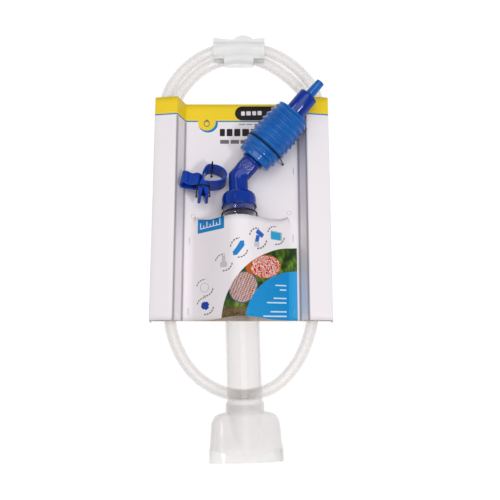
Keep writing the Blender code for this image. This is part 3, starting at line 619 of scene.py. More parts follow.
def print_header(page):
    """The yellow header with its blue rule, the dark bar, the round badge and headline bars."""
    page.ink(page.above(108.6), PRINT_BLUE)
    page.ink(page.ellipse(-39.4, 106.6, 11.4, 11.2), PRINT_BLUE)
    page.ink(page.above(110.2), HEADER_YELLOW)
    page.ink(page.ellipse(-41.0, 108.4, 10.4, 10.4), HEADER_YELLOW)
    drop = page.either(page.ellipse(-41.0, 106.2, 3.6, 3.6), page.box(-41.0, 108.8, 2.5, 2.5, turn=45))
    page.ink(page.both(drop, page.outside(page.ellipse(-41.0, 106.4, 2.7, 2.7))), PRINT_GREY)
    page.boxes(PRINT_BLACK, (35.0, 119.6, 43.0, 8.9, 8.8))
    for index, (x, half) in enumerate(((1.5, 2.2), (8.0, 2.6), (14.6, 2.2), (21.0, 2.4))):
        page.boxes(CARD_WHITE, (x, 119.4 + 0.2 * index, half, 2.6, 0.8))
    page.bars(PRINT_GREY, 105.6, 0.45, 0.3, (0.5, 3.8), (9.0, 3.2), (18.0, 4.0))
    headline = ((-22.6, 3.0), (-14.2, 3.4), (-5.2, 3.6), (4.6, 4.0), (13.6, 3.2), (21.6, 2.8))
    page.bars(PRINT_BLACK, 95.4, 4.6, 1.0, *headline)
    page.bars(PRINT_GREY, 83.8, 2.4, 0.9, (-20.0, 5.2), (-8.0, 5.0), (3.0, 4.4))


def print_label(page):
    """The blue size label at the pocket's corner, with ruler ticks in white."""
    page.boxes(CARD_WHITE, (-34.1, -20.4, 16.2, 9.9, 0.4))
    page.boxes(PRINT_BLUE, (-34.0, -20.4, 15.3, 9.2, 0.7))
    page.boxes(CARD_WHITE, (-34.8, -25.0, 11.7, 0.45))
    for index in range(7):
        tall = 1.7 if index % 2 else 3.4
        page.boxes(CARD_WHITE, (-46.0 + 3.73 * index, -25.0 + tall, 0.5, tall))


def paint_crease_shade(page):
    """Painted shade: soft dark lines down the creases at both sides' columns, where the folds fall into
    shade.
    """
    graph = page.graph
    side = graph.math("ABSOLUTE", page.x)
    below = page.outside(page.above(108.0))
    for place in (CREST[0] / MM - 0.3, FOOT_X / MM + 0.2):
        distance = graph.math("ABSOLUTE", graph.math("SUBTRACT", side, place))
        # The grey-lilac colour is painted crease shade, not ink.
        page.ink(page.both(graph.span(distance, 0.4, 1.7, 0.85, 0.0), below), (0.30, 0.27, 0.31))


def print_holes(page):
    """The round relief holes at both ends of the pocket's slit."""
    for x, y in ((-55.0, -7.2), (54.4, -3.2)):
        page.ink(page.ellipse(x, y, 2.6, 2.6, soft=0.25), (0.50, 0.48, 0.50))
        page.ink(page.ellipse(x, y, 2.1, 2.1, soft=0.25), CARD_WHITE)


def print_icons(page):
    for x, y in ICON_PLACES:
        page.ink(page.arc(x, y, 9.2, 1.3, 85, 85), PRINT_GREY)
        page.ink(page.arc(x, y, 9.6, 1.5, 262, 95), PRINT_GREY)
    bulb, ring = ICON_PLACES[1], ICON_PLACES[4]
    page.boxes(ICON_PALE, (-19.0, -60.0, 2.0, 4.4, 0.6), (-19.0, -66.0, 3.8, 3.0, 1.2))
    page.boxes(PRINT_BLUE, (*bulb, 7.6, 3.0, 1.4, 52), (*bulb, 9.0, 1.3, 0.6, 52))
    page.boxes((0.02, 0.12, 0.5), (20.6, -34.0, 4.2, 2.4, 1.0, -32), (17.6, -40.0, 2.0, 4.2, 0.6, -14))
    page.boxes(ICON_PALE, (17.2, -44.4, 2.8, 2.4, 0.6))
    page.boxes((0.45, 0.45, 0.48), (39.2, -33.4, 6.4, 4.6, 0.6))
    page.boxes((0.02, 0.35, 0.62), (38.4, -33.8, 5.6, 4.0, 0.4))
    hollow = page.outside(page.ellipse(*ring, 4.3, 4.7))
    page.ink(page.both(page.ellipse(*ring, 5.2, 5.6), hollow), ICON_PALE)
    page.boxes((0.01, 0.05, 0.36), (-39.4, -111.0, 4.6, 2.6, 1.2, 38), (-39.4, -111.4, 2.6, 4.6, 1.2, 38))


def planted_tank(page):
    """A generic planted tank: leaves in several greens, dark gaps, and gravel along the bottom."""
    graph = page.graph
    shade = graph.noise(page.place, 0.11, 5.0, 0.62)
    green = graph.mix(graph.span(shade, 0.36, 0.66), (0.008, 0.03, 0.004), (0.22, 0.42, 0.03))
    leaves = graph.span(graph.cells(graph.coordinates(1000, (1.0, 0.55, 0.2)), 0.16), 0.1, 0.75)
    green = graph.mix(leaves, green, (0.012, 0.035, 0.006))
    grains = graph.span(graph.cells(page.place, 0.85), 0.1, 0.8)
    gravel = graph.mix(grains, (0.30, 0.19, 0.08), (0.03, 0.02, 0.01))
    depth = graph.math("ADD", page.y, graph.math("MULTIPLY", shade, 26.0))
    return graph.mix(graph.span(depth, -104.0, -96.0), gravel, green)


def mazy_marks(page):
    """Winding stripes."""
    cloud = page.graph.noise(page.place, 0.16, 1.0)
    return page.graph.math("SINE", page.graph.math("MULTIPLY", cloud, 46.0))


def beaded_marks(page, centre, turn):
    """Wavy rows of beads."""
    m = page.graph.math
    along, across = page.local(*centre, turn)
    cloud = page.graph.noise(page.place, 0.3, 1.0)
    rows = m("SINE", m("ADD", m("MULTIPLY", along, 2.3), m("MULTIPLY", cloud, 7.0)))
    beads = m("SINE", m("MULTIPLY", across, 3.1))
    return m("ADD", rows, m("MULTIPLY", beads, 0.7))


def print_fish(page, centre, radii, turn, marks, body, mark, fin):
    """A plain oval fish with a tail, an eye, and markings."""
    rx, ry = radii
    ahead = Vector((math.cos(math.radians(turn)), math.sin(math.radians(turn))))
    page.ink(page.ellipse(*(centre + 1.02 * rx * ahead), 0.3 * rx, 0.55 * ry, turn), fin)
    page.ink(page.ellipse(*centre, rx * 1.05, ry * 1.08, turn), fin)
    pattern = page.graph.span(marks, -0.2, 0.5)
    page.ink(page.ellipse(*centre, rx, ry, turn), page.graph.mix(pattern, body, mark))
    eye = centre - 0.72 * rx * ahead
    page.ink(page.ellipse(*eye, 1.5, 1.5), (0.7, 0.3, 0.05))
    page.ink(page.ellipse(*eye, 0.8, 0.8), (0.01, 0.01, 0.01))


def print_picture(page):
    """The quarter-round picture in the pocket's corner and the blue quarter-round over it."""
    card = page.color
    page.color = planted_tank(page)
    lower, upper = Vector((2.6, -91.6)), Vector((27.0, -68.0))
    print_fish(
        page, lower, (14.4, 16.6), 158, beaded_marks(page, lower, 158),
        body=(0.36, 0.13, 0.07), mark=(0.50, 0.46, 0.50), fin=(0.07, 0.09, 0.17))
    print_fish(
        page, upper, (16.5, 12.2), 190, mazy_marks(page),
        body=(0.55, 0.012, 0.004), mark=(0.74, 0.60, 0.52), fin=(0.45, 0.10, 0.01))
    quarter = page.ellipse(61.6, -131.0, 57.0, 59.0)
    page.ink(quarter, (0.006, 0.26, 0.6))
    page.ink(page.both(page.box(57.6, -102.0, 4.6, 30.0), quarter), (0.02, 0.32, 0.66))
    lines = ((-88.5, 12.5), (-93.5, 7.5), (-103.0, 14.5), (-108.0, 22.0), (-118.0, 18.0), (-123.0, 26.0))
    for y, width in lines:
        page.boxes((0.6, 0.76, 0.88), (50.0 - width / 2, y, width / 2, 0.75, 0.4))
    inside = page.both(page.ellipse(62.0, -131.0, 83.0, 86.0), page.box(0.0, -90.0, 62.6, 60.0))
    page.color = page.graph.mix(inside, card, page.color)


def card_material():
    """White card with its print and painted crease shade, and slightly uneven."""
    graph = Graph("printed_card", Specular_IOR_Level=0.2)
    page = Print(graph)
    for print_or_shade in (print_header, print_label, paint_crease_shade, print_holes, print_icons, print_picture):
        print_or_shade(page)
    tone = graph.noise(page.place, 0.05, 4.0)
    graph.put("Base Color", page.color)
    graph.put("Roughness", graph.span(tone, 0.3, 0.7, 0.38, 0.52))
    fibre = graph.noise(page.place, 3.0, 3.0)
    height = graph.math("ADD", graph.math("MULTIPLY", tone, 3.0), graph.math("MULTIPLY", fibre, 0.05))
    graph.bump(height, 0.25 * MM, 0.4)
    return graph.material


def kraft_material():
    """Uncoated brown inside of the card, with fibres."""
    graph = Graph("kraft_card", Roughness=0.85)
    fibre = graph.noise(graph.coordinates(1000, (1.0, 0.3, 1.0)), 2.2, 5.0, 0.7)
    graph.put("Base Color", graph.mix(fibre, (0.52, 0.41, 0.32), (0.74, 0.64, 0.54)))
    graph.bump(fibre, 0.1 * MM, 0.5)
    return graph.material


# ---- display card

def slit_height(x):
    """Where the pocket's top edge is cut across the card at a place x."""
    places, heights = zip(*SLIT_LINE)
    return float(np.interp(abs(x) / MM, places, heights)) * MM


def pocket_profile(y, tube_frame, steps=14):
    """The pocket's cross-section at a height: a slope, the crown round the tube, and a slope."""
    origin = tube_frame.translation
    axis = axis_of(tube_frame)
    centre = (origin + axis * ((y - origin.y) / axis.y)).xz
    radius = TUBE_RADIUS + POCKET_GAP
    points = []
    angles = []
    for sign in (-1, 1):
        foot = Vector((sign * POCKET_FOOT_X, FRONT_Z))
        reach = centre - foot
        rise = math.atan2(reach.y, -sign * reach.x) + math.asin(radius / reach.length)
        run = math.sqrt(reach.length_squared - radius ** 2)
        meeting = foot + run * Vector((-sign * math.cos(rise), math.sin(rise)))
        angles.append(math.atan2((meeting - centre).y, (meeting - centre).x))
        points.append((foot, meeting))
    (left_foot, left_meeting), (right_foot, right_meeting) = points
    profile = [left_foot.lerp(left_meeting, i / steps) for i in range(steps)]
    for i in range(steps + 1):
        angle = angles[0] + (angles[1] - angles[0]) * i / steps
        profile.append(centre + radius * Vector((math.cos(angle), math.sin(angle))))
    profile += [right_meeting.lerp(right_foot, i / steps) for i in range(1, steps + 1)]
    return profile


def column_profile(sign):
    """From the card's bottom corner over one side's column to its foot on the front."""
    corners = [
        Vector((CARD_HALF_WIDTH, 0.0)), Vector((CARD_HALF_WIDTH, EDGE_Z)), Vector(CREST),
        Vector((FOOT_X, FRONT_Z)), Vector((POCKET_FOOT_X, FRONT_Z)),
    ]
    line = [corners[0]]
    for before, corner, after in zip(corners, corners[1:], corners[2:]):
        start = corner + (before - corner).normalized() * CREASE_RADIUS
        end = corner + (after - corner).normalized() * CREASE_RADIUS
        middle = (start + 2 * corner + end) / 4
        line += [line[-1].lerp(start, i / 4) for i in (1, 2, 3)]
        line += [start, middle, end]
    line.append(corners[-1])
    return [Vector((sign * p.x, p.y)) for p in line]


def sleeve_ring(y, tube_frame, bowed):
    """One closed cross-section of the card sleeve, outside faces, at a height up the card."""
    left = column_profile(-1)
    right = column_profile(1)[::-1]
    pocket = pocket_profile(y, tube_frame)
    if not bowed:
        pocket = [Vector((p.x, FRONT_Z)) for p in pocket]
    front = left + pocket[1:-1] + right
    back = [front[-1].lerp(front[0], i / 12) for i in range(1, 12)]
    return front, back


def edge_trim(point, back):
    """How much the card's bottom edge is cut back: all along the back, and low on the front."""
    if back:
        return BACK_TRIM
    if abs(point.x) > CREST[0]:
        return 0.0
    return FRONT_TRIM * max(0.0, 1 - (point.y - FRONT_Z) / CREST[1])


def sleeve_rows(builder, start, end, count, bowed, tube_frame):
    """Rings of vertices down the card, from a start height to an end height.

    Below the slit the pocket bows out over the tube. Both parts follow the slit where they meet.
    """
    side_count = len(column_profile(1))
    for row in range(count + 1):
        t = row / count
        front, back = sleeve_ring(start + (end - start) * t, tube_frame, bowed)
        ring = []
        for i, point in enumerate(front + back):
            top, bottom = start, end
            if side_count <= i < len(front) - side_count:
                cut = slit_height(point.x)
                top, bottom = (cut, end) if bowed else (start, cut)
            if bowed:
                bottom += edge_trim(point, back=i == 0 or i >= len(front) - 1)
            y = top + (bottom - top) * t
            wave = 0.22 * MM * noise.noise(Vector((point.x * 26, y * 17, 3.7)))
            lift = wave if 0 < i < len(front) - 1 else 0.0
            ring.append(builder.verts.new((point.x, y, point.y + max(lift, -0.1 * MM))))
        yield ring


def make_sleeve(materials, tube_frame):
    """The printed card: one folded sleeve with a column up each side and a pocket for the tube."""
    builder = bmesh.new()
    upper = list(sleeve_rows(builder, CARD_HALF_HEIGHT, SLIT_Y, 20, False, tube_frame))
    lower = list(sleeve_rows(builder, SLIT_Y, -CARD_HALF_HEIGHT, 16, True, tube_frame))
    grid_faces(builder, upper)
    grid_faces(builder, lower)
    bmesh.ops.remove_doubles(builder, verts=builder.verts, dist=0.02 * MM)
    sleeve = mesh_object("card_sleeve", builder, materials[0], sharp=60)
    sleeve.data.materials.append(materials[1])
    thick = thicken(sleeve, SHEET, -1)
    thick.material_offset = 1
    thick.material_offset_rim = 1
    names = ["card_back_sheet", "card_front_sheet", "pocket_crown"]
    for side in ("left", "right"):
        names += [f"{side}_pocket_margin", f"pocket_{side}_slope"]
        names += [f"{side}_column_{part}" for part in ("riser", "crown", "side")]
    finish_piece(sleeve, "pack", "printed_card", *names)


def make_staples(material):
    """Bright wire staples, each with its two legs bent down into the card."""
    half = [(4.0, -0.6), (4.0, 0.0), (3.6, 0.25)]
    line = [(-y, z) for y, z in half] + half[::-1]
    for number, (x, y) in enumerate(STAPLE_PLACES, 1):
        middle = Vector((x * MM, y * MM, FRONT_Z + 0.45 * MM))
        path = [middle + Vector((0, py, pz)) * MM for py, pz in line]
        staple = tube_along(f"staple_{number}", path, 0.28 * MM, material, sides=10)
        finish_piece(staple, "pack", "staple_steel", f"card_staple_{number}")


# ---- tube, collar and nozzle

def make_tube(material, frame):
    """The clear gravel tube."""
    inner = TUBE_RADIUS - TUBE_WALL
    length = TUBE_TOP - TUBE_END
    profile = [(TUBE_END + length * i / 24, TUBE_RADIUS) for i in range(25)]
    profile += [(TUBE_TOP - length * i / 24, inner) for i in range(25)]
    tube = turned("clear_tube", profile, material, frame)
    finish_piece(tube, "pack", "clear_plastic", "gravel_tube")


def make_collar(material, frame):
    """The collar, with its rounded shoulder and a slightly wider lower rim."""
    socket = TUBE_RADIUS + FIT_GAP
    hole = STEM_RADIUS + FIT_GAP
    profile = [
        (0, 19.9 * MM), (2.6 * MM, 19.6 * MM), (3.2 * MM, 19.3 * MM), (10.5 * MM, 19.2 * MM),
        (14 * MM, 18.5 * MM), (16.4 * MM, 16.9 * MM), (COLLAR_TOP, 14.6 * MM), (COLLAR_TOP, hole),
        (15.3 * MM, hole), (15.3 * MM, 13.1 * MM), (9.8 * MM, 13.1 * MM), (9.8 * MM, socket),
        (0, socket),
    ]
    collar = turned("swivel_collar", softened(profile, 0.9 * MM), material, frame)
    finish_piece(collar, "pack", "dark_blue", "tube_collar")


def make_guard(material, frame):
    """The ribbed plug in the tube's top: a cup with a round hole in its floor and upright ribs round its
    outside.
    """
    outer = TUBE_RADIUS - TUBE_WALL - FIT_GAP
    wall = 1.2 * MM
    rib_count = 24

    def ribs(height, radius, angle):
        """How far the outside goes in between two ribs."""
        if radius < outer - 0.9 * MM or not -3.3 * MM < height < 7.5 * MM:
            return 0.0
        return 0.35 * MM * (math.cos(rib_count * angle) - 1)

    profile = [
        (GUARD_FLOOR, outer), (-3.6 * MM, outer), (-3.2 * MM, outer - 0.3 * MM),
        (7 * MM, outer - 0.3 * MM), (8.9 * MM, outer), (8.9 * MM, outer - wall - 0.7 * MM),
        (GUARD_FLOOR + 1.6 * MM, outer - wall - 0.7 * MM), (GUARD_FLOOR + 1.6 * MM, 2.2 * MM),
        (GUARD_FLOOR, 2.2 * MM),
    ]
    guard = turned("ribbed_plug", profile, material, frame, sides=192, ripple=ribs)
    finish_piece(guard, "pack", "dark_blue", "gravel_guard")


def mouth_rise(x, y, height):
    """The mouth's front wall is shorter than its back wall, most of all at its sides."""
    depth = max(0.0, (LIP_START - height) / (LIP_START - NOZZLE_END))
    frontness = clamped(-y / (6 * MM))
    return depth ** 2 * frontness * (3.6 * MM + 8.6 * MM * (x / (37 * MM)) ** 2)


def nozzle_ring(height, half_width, half_depth, barrel, sides=208):
    """A rounded box round the tube's axis, or the round barrel wherever that stands out further."""
    ring = []
    for i in range(sides):
        angle = math.tau * i / sides
        across, out = math.cos(angle), math.sin(angle)
        share = sum(abs(part) ** NOZZLE_SQUARENESS for part in (across / half_width, out / half_depth))
        reach = max(barrel, share ** (-1 / NOZZLE_SQUARENESS))
        x, y = reach * across, reach * out
        ring.append(Vector((x, y, height + mouth_rise(x, y, height))))
    return ring


def make_nozzle(material, frame):
    """The wide nozzle: a sleeve over the tube, square shoulders and a mouth that deepens."""
    barrel = TUBE_RADIUS + FIT_GAP + NOZZLE_WALL
    box = (
        (-226.8, 20, 8), (-227.4, 24.4, 9), (-229, 29, 10), (-232, 32.8, 11), (-237.5, 35.2, 12.2),
        (-246, 35.9, 14), (-256, 36.5, 16.2), (-268, 37.3, 18.9), (NOZZLE_END / MM, 38, 20.2),
    )
    stations = [knot * MM for knot in smooth_path([Vector(knot) for knot in box], 5)]
    rings = [nozzle_ring(SLEEVE_TOP, 20 * MM, 8 * MM, barrel - 0.4 * MM)]
    rings.append(nozzle_ring(SLEEVE_TOP - 0.4 * MM, 20 * MM, 8 * MM, barrel))
    rings += [nozzle_ring(height, width, depth, barrel) for height, width, depth in stations]
    bore = barrel - NOZZLE_WALL - STOP_DEPTH
    for height, width, depth in reversed(stations):
        drop = NOZZLE_WALL * clamped((height - LIP_START) / (8 * MM))
        rings.append(nozzle_ring(height - drop, width - NOZZLE_WALL, depth - NOZZLE_WALL, bore))
    rings.append(nozzle_ring(TUBE_STOP, 18 * MM, 6 * MM, barrel - NOZZLE_WALL))
    rings.append(nozzle_ring(SLEEVE_TOP, 18 * MM, 6 * MM, barrel - NOZZLE_WALL))
    nozzle = lofted("flat_nozzle", rings, material, frame, sharp=50)
    finish_piece(nozzle, "nozzle", "frosted_plastic", "intake_nozzle")


# ---- elbow, bulb and outlet

def flute(angle, distance):
    """Lengthwise flutes on the elbow's upper leg, which fade out at both ends."""
    fade = clamped(min((distance - 6 * MM) / (3 * MM), (22.4 * MM - distance) / MM))
    return 0.45 * MM * fade * (math.cos(26 * angle) - 1) / 2


def slanted(angle):
    """The direction at an angle from Z towards X."""
    return Vector((math.sin(angle), 0, math.cos(angle)))


def elbow_ring(centre, direction, radius, fluted=0.0, mitre=1.0, sides=208):
    """A ring across a leg of the elbow. A mitre widens it into the bend's slanting cut."""
    across = Vector((direction.z, 0, -direction.x))
    points = []
    for i in range(sides):
        angle = math.tau * i / sides
        reach = radius + (flute(angle, fluted) if fluted else 0.0)
        out = math.sin(angle) * Vector((0, 1, 0))
        points.append(centre + reach * (mitre * math.cos(angle) * across + out))
    return points


def make_elbow(material, frame, bulb_frame):
    """The elbow: stem, sharp mitred bend, fluted upper leg, flange and barbed head."""
    elbow_angle = math.acos(axis_of(frame).dot(axis_of(bulb_frame)))
    slant, half = slanted(elbow_angle), slanted(elbow_angle / 2)
    mitre = 1 / math.cos(elbow_angle / 2)
    up = Vector((0, 0, 1))
    bend = up * BEND_HEIGHT
    outer = STEM_RADIUS / MM
    bore, cage = BORE_RADIUS / MM, CAGE_BORE / MM
    stem = [
        (8.7, 10.4), (9.0, 12.1), (9.3, 12.4), (10.5, 12.4), (10.7, 9.6), (14.3, 9.6),
        (14.5, outer), (22, outer), (30, outer),
    ]
    leg = [(along, outer) for along in (6, 7, 8, 9, 12, 16, 20, 21.4, 22.2)] + [
        (22.4, 10.9), (22.5, 12.4), (22.9, 12.7), (25.1, 12.7), (25.5, 12.4), (25.6, 9.5),
        (27.8, 9.5), (28.0, 10.7), (30.5, 9.3), (40.5, 9.3),
    ]
    inner = [(40.5, cage), (26.7, cage), (26.7, bore), (6, bore)]

    rings = [elbow_ring(up * height * MM, up, radius * MM) for height, radius in stem]
    rings.append(elbow_ring(bend, half, STEM_RADIUS, mitre=mitre))
    for along, radius in leg:
        rings.append(elbow_ring(bend + slant * along * MM, slant, radius * MM, fluted=along * MM))
    for along, radius in inner:
        rings.append(elbow_ring(bend + slant * along * MM, slant, radius * MM))
    rings.append(elbow_ring(bend, half, BORE_RADIUS, mitre=mitre))
    rings += [elbow_ring(up * height * MM, up, BORE_RADIUS) for height in (30, 8.7)]
    elbow = lofted("elbow", rings, material, frame)
    finish_piece(elbow, "elbow_head", "dark_blue", "swivel_elbow")


def ridge_radius(along):
    """The ridges' outer radius, which swells towards the middle of the bulb like a barrel."""
    share = (along - BULB_START) / (BULB_END - BULB_START)
    return RIDGE_RADIUS + RIDGE_SWELL * (1 - (2 * share - 1) ** 2)


def bellows_profile():
    """Broad rounded ridges with narrower grooves, between a plain cuff at both ends."""
    profile = [(BULB_START, BULB_HOLE_RADIUS), (BULB_START, CUFF_RADIUS - 1.2 * MM)]
    for i in range(1, 6):
        turn = math.pi / 2 * i / 5
        profile.append((
            BULB_START + 1.1 * MM * (1 - math.cos(turn)),
            CUFF_RADIUS - 1.1 * MM * (1 - math.sin(turn)),
        ))
    profile.append((BULB_START + 5.6 * MM, CUFF_RADIUS))
    start = FIRST_RIDGE - RIDGE_PITCH / 2
    end = FIRST_RIDGE + (RIDGE_COUNT - 0.5) * RIDGE_PITCH
    steps = RIDGE_COUNT * 16
    for i in range(steps + 1):
        along = start + (end - start) * i / steps
        groove = abs(math.cos(math.pi * (along - start) / RIDGE_PITCH)) ** 2.6
        profile.append((along, ridge_radius(along) - VALLEY_DEPTH * groove))
    profile += [
        (end + 0.7 * MM, CUFF_RADIUS - 0.2 * MM), (BULB_END - 0.9 * MM, CUFF_RADIUS),
        (BULB_END - 0.3 * MM, CUFF_RADIUS - 0.3 * MM), (BULB_END, CUFF_RADIUS - 1.0 * MM),
        (BULB_END, BULB_HOLE_RADIUS), (BULB_END - BULB_WALL, BULB_HOLE_RADIUS),
    ]
    length = BULB_END - BULB_START - 2 * BULB_WALL
    for i in range(25):
        profile.append((BULB_END - BULB_WALL - length * i / 24, BULB_INSIDE_RADIUS))
    profile.append((BULB_START + BULB_WALL, BULB_HOLE_RADIUS))
    return profile


def make_bellows(material, frame):
    """The ribbed priming bulb."""
    bulb = turned("ribbed_bulb", bellows_profile(), material, frame, sides=120)
    stretch_with_bulb(bulb, frame, "priming_bellows")


def make_cuff_marks(material, frame):
    """Small raised tally marks round the bulb's lower cuff."""
    builder = bmesh.new()
    for index in range(7):
        angle = math.radians(-150 + 17 * index)
        spin = Matrix.Rotation(angle, 4, "Z")
        place = Matrix.Translation((CUFF_RADIUS + 0.05 * MM, 0, BULB_START + 3.4 * MM))
        size = Matrix.Diagonal((0.4 * MM, 1.5 * MM if index % 2 else 2.4 * MM, 2.6 * MM, 1))
        bmesh.ops.create_cube(builder, size=1, matrix=spin @ place @ size)
    marks = mesh_object("bulb_cuff_marks", builder, material, frame)
    soften_edges(marks, 0.15 * MM)
    finish_piece(marks, "elbow_head", "bulb_blue")


def make_outlet(material, frame):
    """The outlet connector, with its rounded rim and a capsule-shaped key down its side."""
    profile = [
        (86.0 * MM, 9.2 * MM), (91.6 * MM, 9.2 * MM), (94.2 * MM, 10.7 * MM), (94.4 * MM, 9.5 * MM),
        (96.5 * MM, 9.5 * MM), (96.5 * MM, CONNECTOR_RADIUS), (121.3 * MM, CONNECTOR_RADIUS),
        (122.8 * MM, 10.8 * MM), (CONNECTOR_END, 9.8 * MM), (CONNECTOR_END, 6.3 * MM),
        (111.2 * MM, 6.3 * MM), (111.2 * MM, 4.2 * MM), (100.2 * MM, 4.2 * MM),
        (99.7 * MM, CAGE_BORE), (86.0 * MM, CAGE_BORE),
    ]
    outlet = turned("outlet_body", softened(profile, 0.35 * MM), material, frame)
    finish_piece(outlet, "outlet_end", "dark_blue", "outlet_connector")
    path = [Vector((0, 0, (100 + 2.0 * i) * MM)) for i in range(10)]
    spin = Matrix.Rotation(math.radians(-112), 4, "Z") @ Matrix.Translation((11.2 * MM, 0, 0))
    rib = tube_along("outlet_key", [frame @ spin @ p for p in path], 0.55 * MM, material, sides=16)
    finish_piece(rib, "outlet_end", "dark_blue")


def make_tail(material, frame):
    """The tapered tail that the hose pushes onto."""
    profile = [
        (TAIL_START, 5.9 * MM), (CONNECTOR_END, 5.7 * MM), (TAIL_END - 1.2 * MM, 4.95 * MM),
        (TAIL_END - 0.2 * MM, 4.7 * MM), (TAIL_END, 4.3 * MM), (TAIL_END, 3.4 * MM),
        (TAIL_START, 3.9 * MM),
    ]
    tail = turned("tapered_tail", softened(profile, 0.4 * MM), material, frame, sides=64)
    finish_piece(tail, "outlet_end", "bulb_blue", "hose_tail")


def dress_inner_pieces(frame, seal, valve):
    """The valve cages, the balls and the seal keep their CAD shapes."""
    pieces = [("swivel_seal", "seal_rubber", seal)]
    for end in ("inlet", "outlet"):
        pieces += [(f"{end}_valve_{part}", "valve_white", valve) for part in ("cage", "ball")]
    for node, slot, material in pieces:
        piece = frame["nodes"][node]
        piece.data.materials.clear()
        piece.data.materials.append(material)


# ---- hose and film band

def make_hose(material):
    """The clear hose, hollow from end to end, coiled once and a half round."""
    path = smooth_path([Vector((x * MM, y * MM, HOSE_HEIGHT)) for x, y in HOSE_ROUTE], 5)
    hose = tube_along("clear_hose", path, HOSE_RADIUS, material, wall=HOSE_WALL, sides=32)
    finish_piece(hose, "pack", "hose_vinyl", "hose")
    length = sum((b - a).length for a, b in zip(path, path[1:]))
    tuple(path[0])
    [tuple(p) for p in path]
    return path


def film_height(x, y, path):
    """How far the film stands off the hose's middle plane at a place on the pack."""
    reach = HOSE_RADIUS + 0.25 * MM
    height = 0.0
    for strand in path:
        distance = math.hypot(strand.x - x, strand.y - y)
        if distance < reach:
            height = max(height, math.sqrt(reach ** 2 - distance ** 2))
    return height


def band_edges(x):
    """The film's top and bottom edges at a place x: eared corners, a dome and a tab."""
    middle = (BAND_LEFT + BAND_RIGHT) / 2
    across = abs(x - middle) / ((BAND_RIGHT - BAND_LEFT) / 2)
    top = 212.4 * MM + 3.6 * MM * max(0.0, across - 0.35) ** 1.2
    dome = 1 - ((x - 1.6 * MM) / (11 * MM)) ** 2
    top += 5.2 * MM * max(0.0, dome) ** 0.7
    tab = clamped((17.8 * MM - abs(x - middle)) / (0.8 * MM))
    return top, 184.4 * MM - 8.2 * MM * tab


def film_point(x, share, side, path):
    """A point on the front or back film, a share of the way up from its bottom edge at x."""
    top, bottom = band_edges(x)
    y = bottom + (top - bottom) * share
    lift = film_height(x, y, path)
    slack = 5.6 * MM * clamped((BAND_SEAL_Y - y) / (6 * MM))
    crease = 0.25 * MM * noise.noise(Vector((x * 60, y * 420, side)))
    between_strands = 190 * MM < y < BAND_SEAL_Y
    lift = max(lift, slack if between_strands else min(slack, lift + 0.3 * MM), 0.35 * MM)
    z = HOSE_HEIGHT + side * min(lift + crease * min(1.0, lift / MM), 6.95 * MM)
    return x, y, max(z, 0.2 * MM)


def make_band(material, path):
    """A clear film folded over both strands of the hose and sealed above them."""
    columns, rows = 64, 44
    near = [p for p in path if p.y > 150 * MM and abs(p.x) < 60 * MM]
    dense = []
    for start, end in zip(near, near[1:]):
        if (end - start).length < 20 * MM:
            dense += [start.lerp(end, i / 4) for i in range(4)]
    places = [BAND_LEFT + (BAND_RIGHT - BAND_LEFT) * column / columns for column in range(columns + 1)]
    builder = bmesh.new()
    for side in (1, -1):
        grid = []
        for row in range(rows + 1):
            grid.append([builder.verts.new(film_point(x, row / rows, side, dense)) for x in places])
        grid_faces(builder, grid, closed_rings=False)
    film = mesh_object("film_band", builder, material, sharp=180)
    thicken(film, BAND_THICKNESS, 0)
    finish_piece(film, "pack", "clear_film", "hose_band")


# ---- clip and ties

def clip_curve(outline, steps=8):
    """A smooth closed loop through an outline given in millimetres."""
    return smooth_path([Vector((x, y, 0)) * MM for x, y in outline], steps, closed=True)


def inset_loop(loop, distance):
    """The loop moved inwards by a distance."""
    turning = sum(a.cross(b).z for a, b in zip(loop, loop[1:] + loop[:1]))
    inwards = math.copysign(distance, turning)
    moved = []
    for i, point in enumerate(loop):
        along = (loop[(i + 1) % len(loop)] - loop[i - 1]).normalized()
        moved.append(point + inwards * Vector((-along.y, along.x, 0)))
    return moved


def extruded(name, loops, depth, material):
    """A shape raised along Z: a filled outline, or the band between an outline and its inset."""
    builder = bmesh.new()
    rims = [[builder.verts.new(point) for point in loop] for loop in loops]
    if len(rims) == 1:
        builder.faces.new(rims[0])
    else:
        outer, inner = rims
        for i in range(len(outer)):
            builder.faces.new((outer[i - 1], outer[i], inner[i], inner[i - 1]))
    grown = bmesh.ops.extrude_face_region(builder, geom=list(builder.faces))
    lifted = [item for item in grown["geom"] if isinstance(item, bmesh.types.BMVert)]
    bmesh.ops.translate(builder, verts=lifted, vec=(0, 0, depth))
    return mesh_object(name, builder, material)


def make_clip(material):
    """The one-piece bucket clip: rim loop, squeeze legs, and the hose holder across them."""
    loop = clip_curve(CLIP_LOOP)
    clip = extruded("rim_clip", [loop, inset_loop(loop, CLIP_WALL)], CLIP_WIDTH, material)
    legs = extruded("clip_legs", [clip_curve(CLIP_LEGS)], CLIP_WIDTH, material)
    ring = clip_curve(HOLDER_HALF + tuple((-x, z) for x, z in HOLDER_HALF[:0:-1]))
    holder = extruded("clip_holder", [ring, inset_loop(ring, CLIP_WALL)], HOLDER_LENGTH, material)
    clip.matrix_world = legs.matrix_world = CLIP_FRAME
    holder.matrix_world = (
        CLIP_FRAME
        @ Matrix.Translation(HOLDER_PLACE)
        @ Matrix.Rotation(HOLDER_TURN, 4, "Z")
        @ Matrix.Rotation(math.pi / 2, 4, "X")
        @ Matrix.Translation((0, 0, -HOLDER_LENGTH / 2))
    )
    for other in (legs, holder):
        joined = clip.modifiers.new("join", "BOOLEAN")
        joined.operation = "UNION"
        joined.object = other
    apply_modifiers(clip)
    for other in (legs, holder):
        bpy.data.objects.remove(other)
    soften_edges(clip, 0.35 * MM, angle=50)
    finish_piece(clip, "pack", "dark_blue", "bucket_clip")


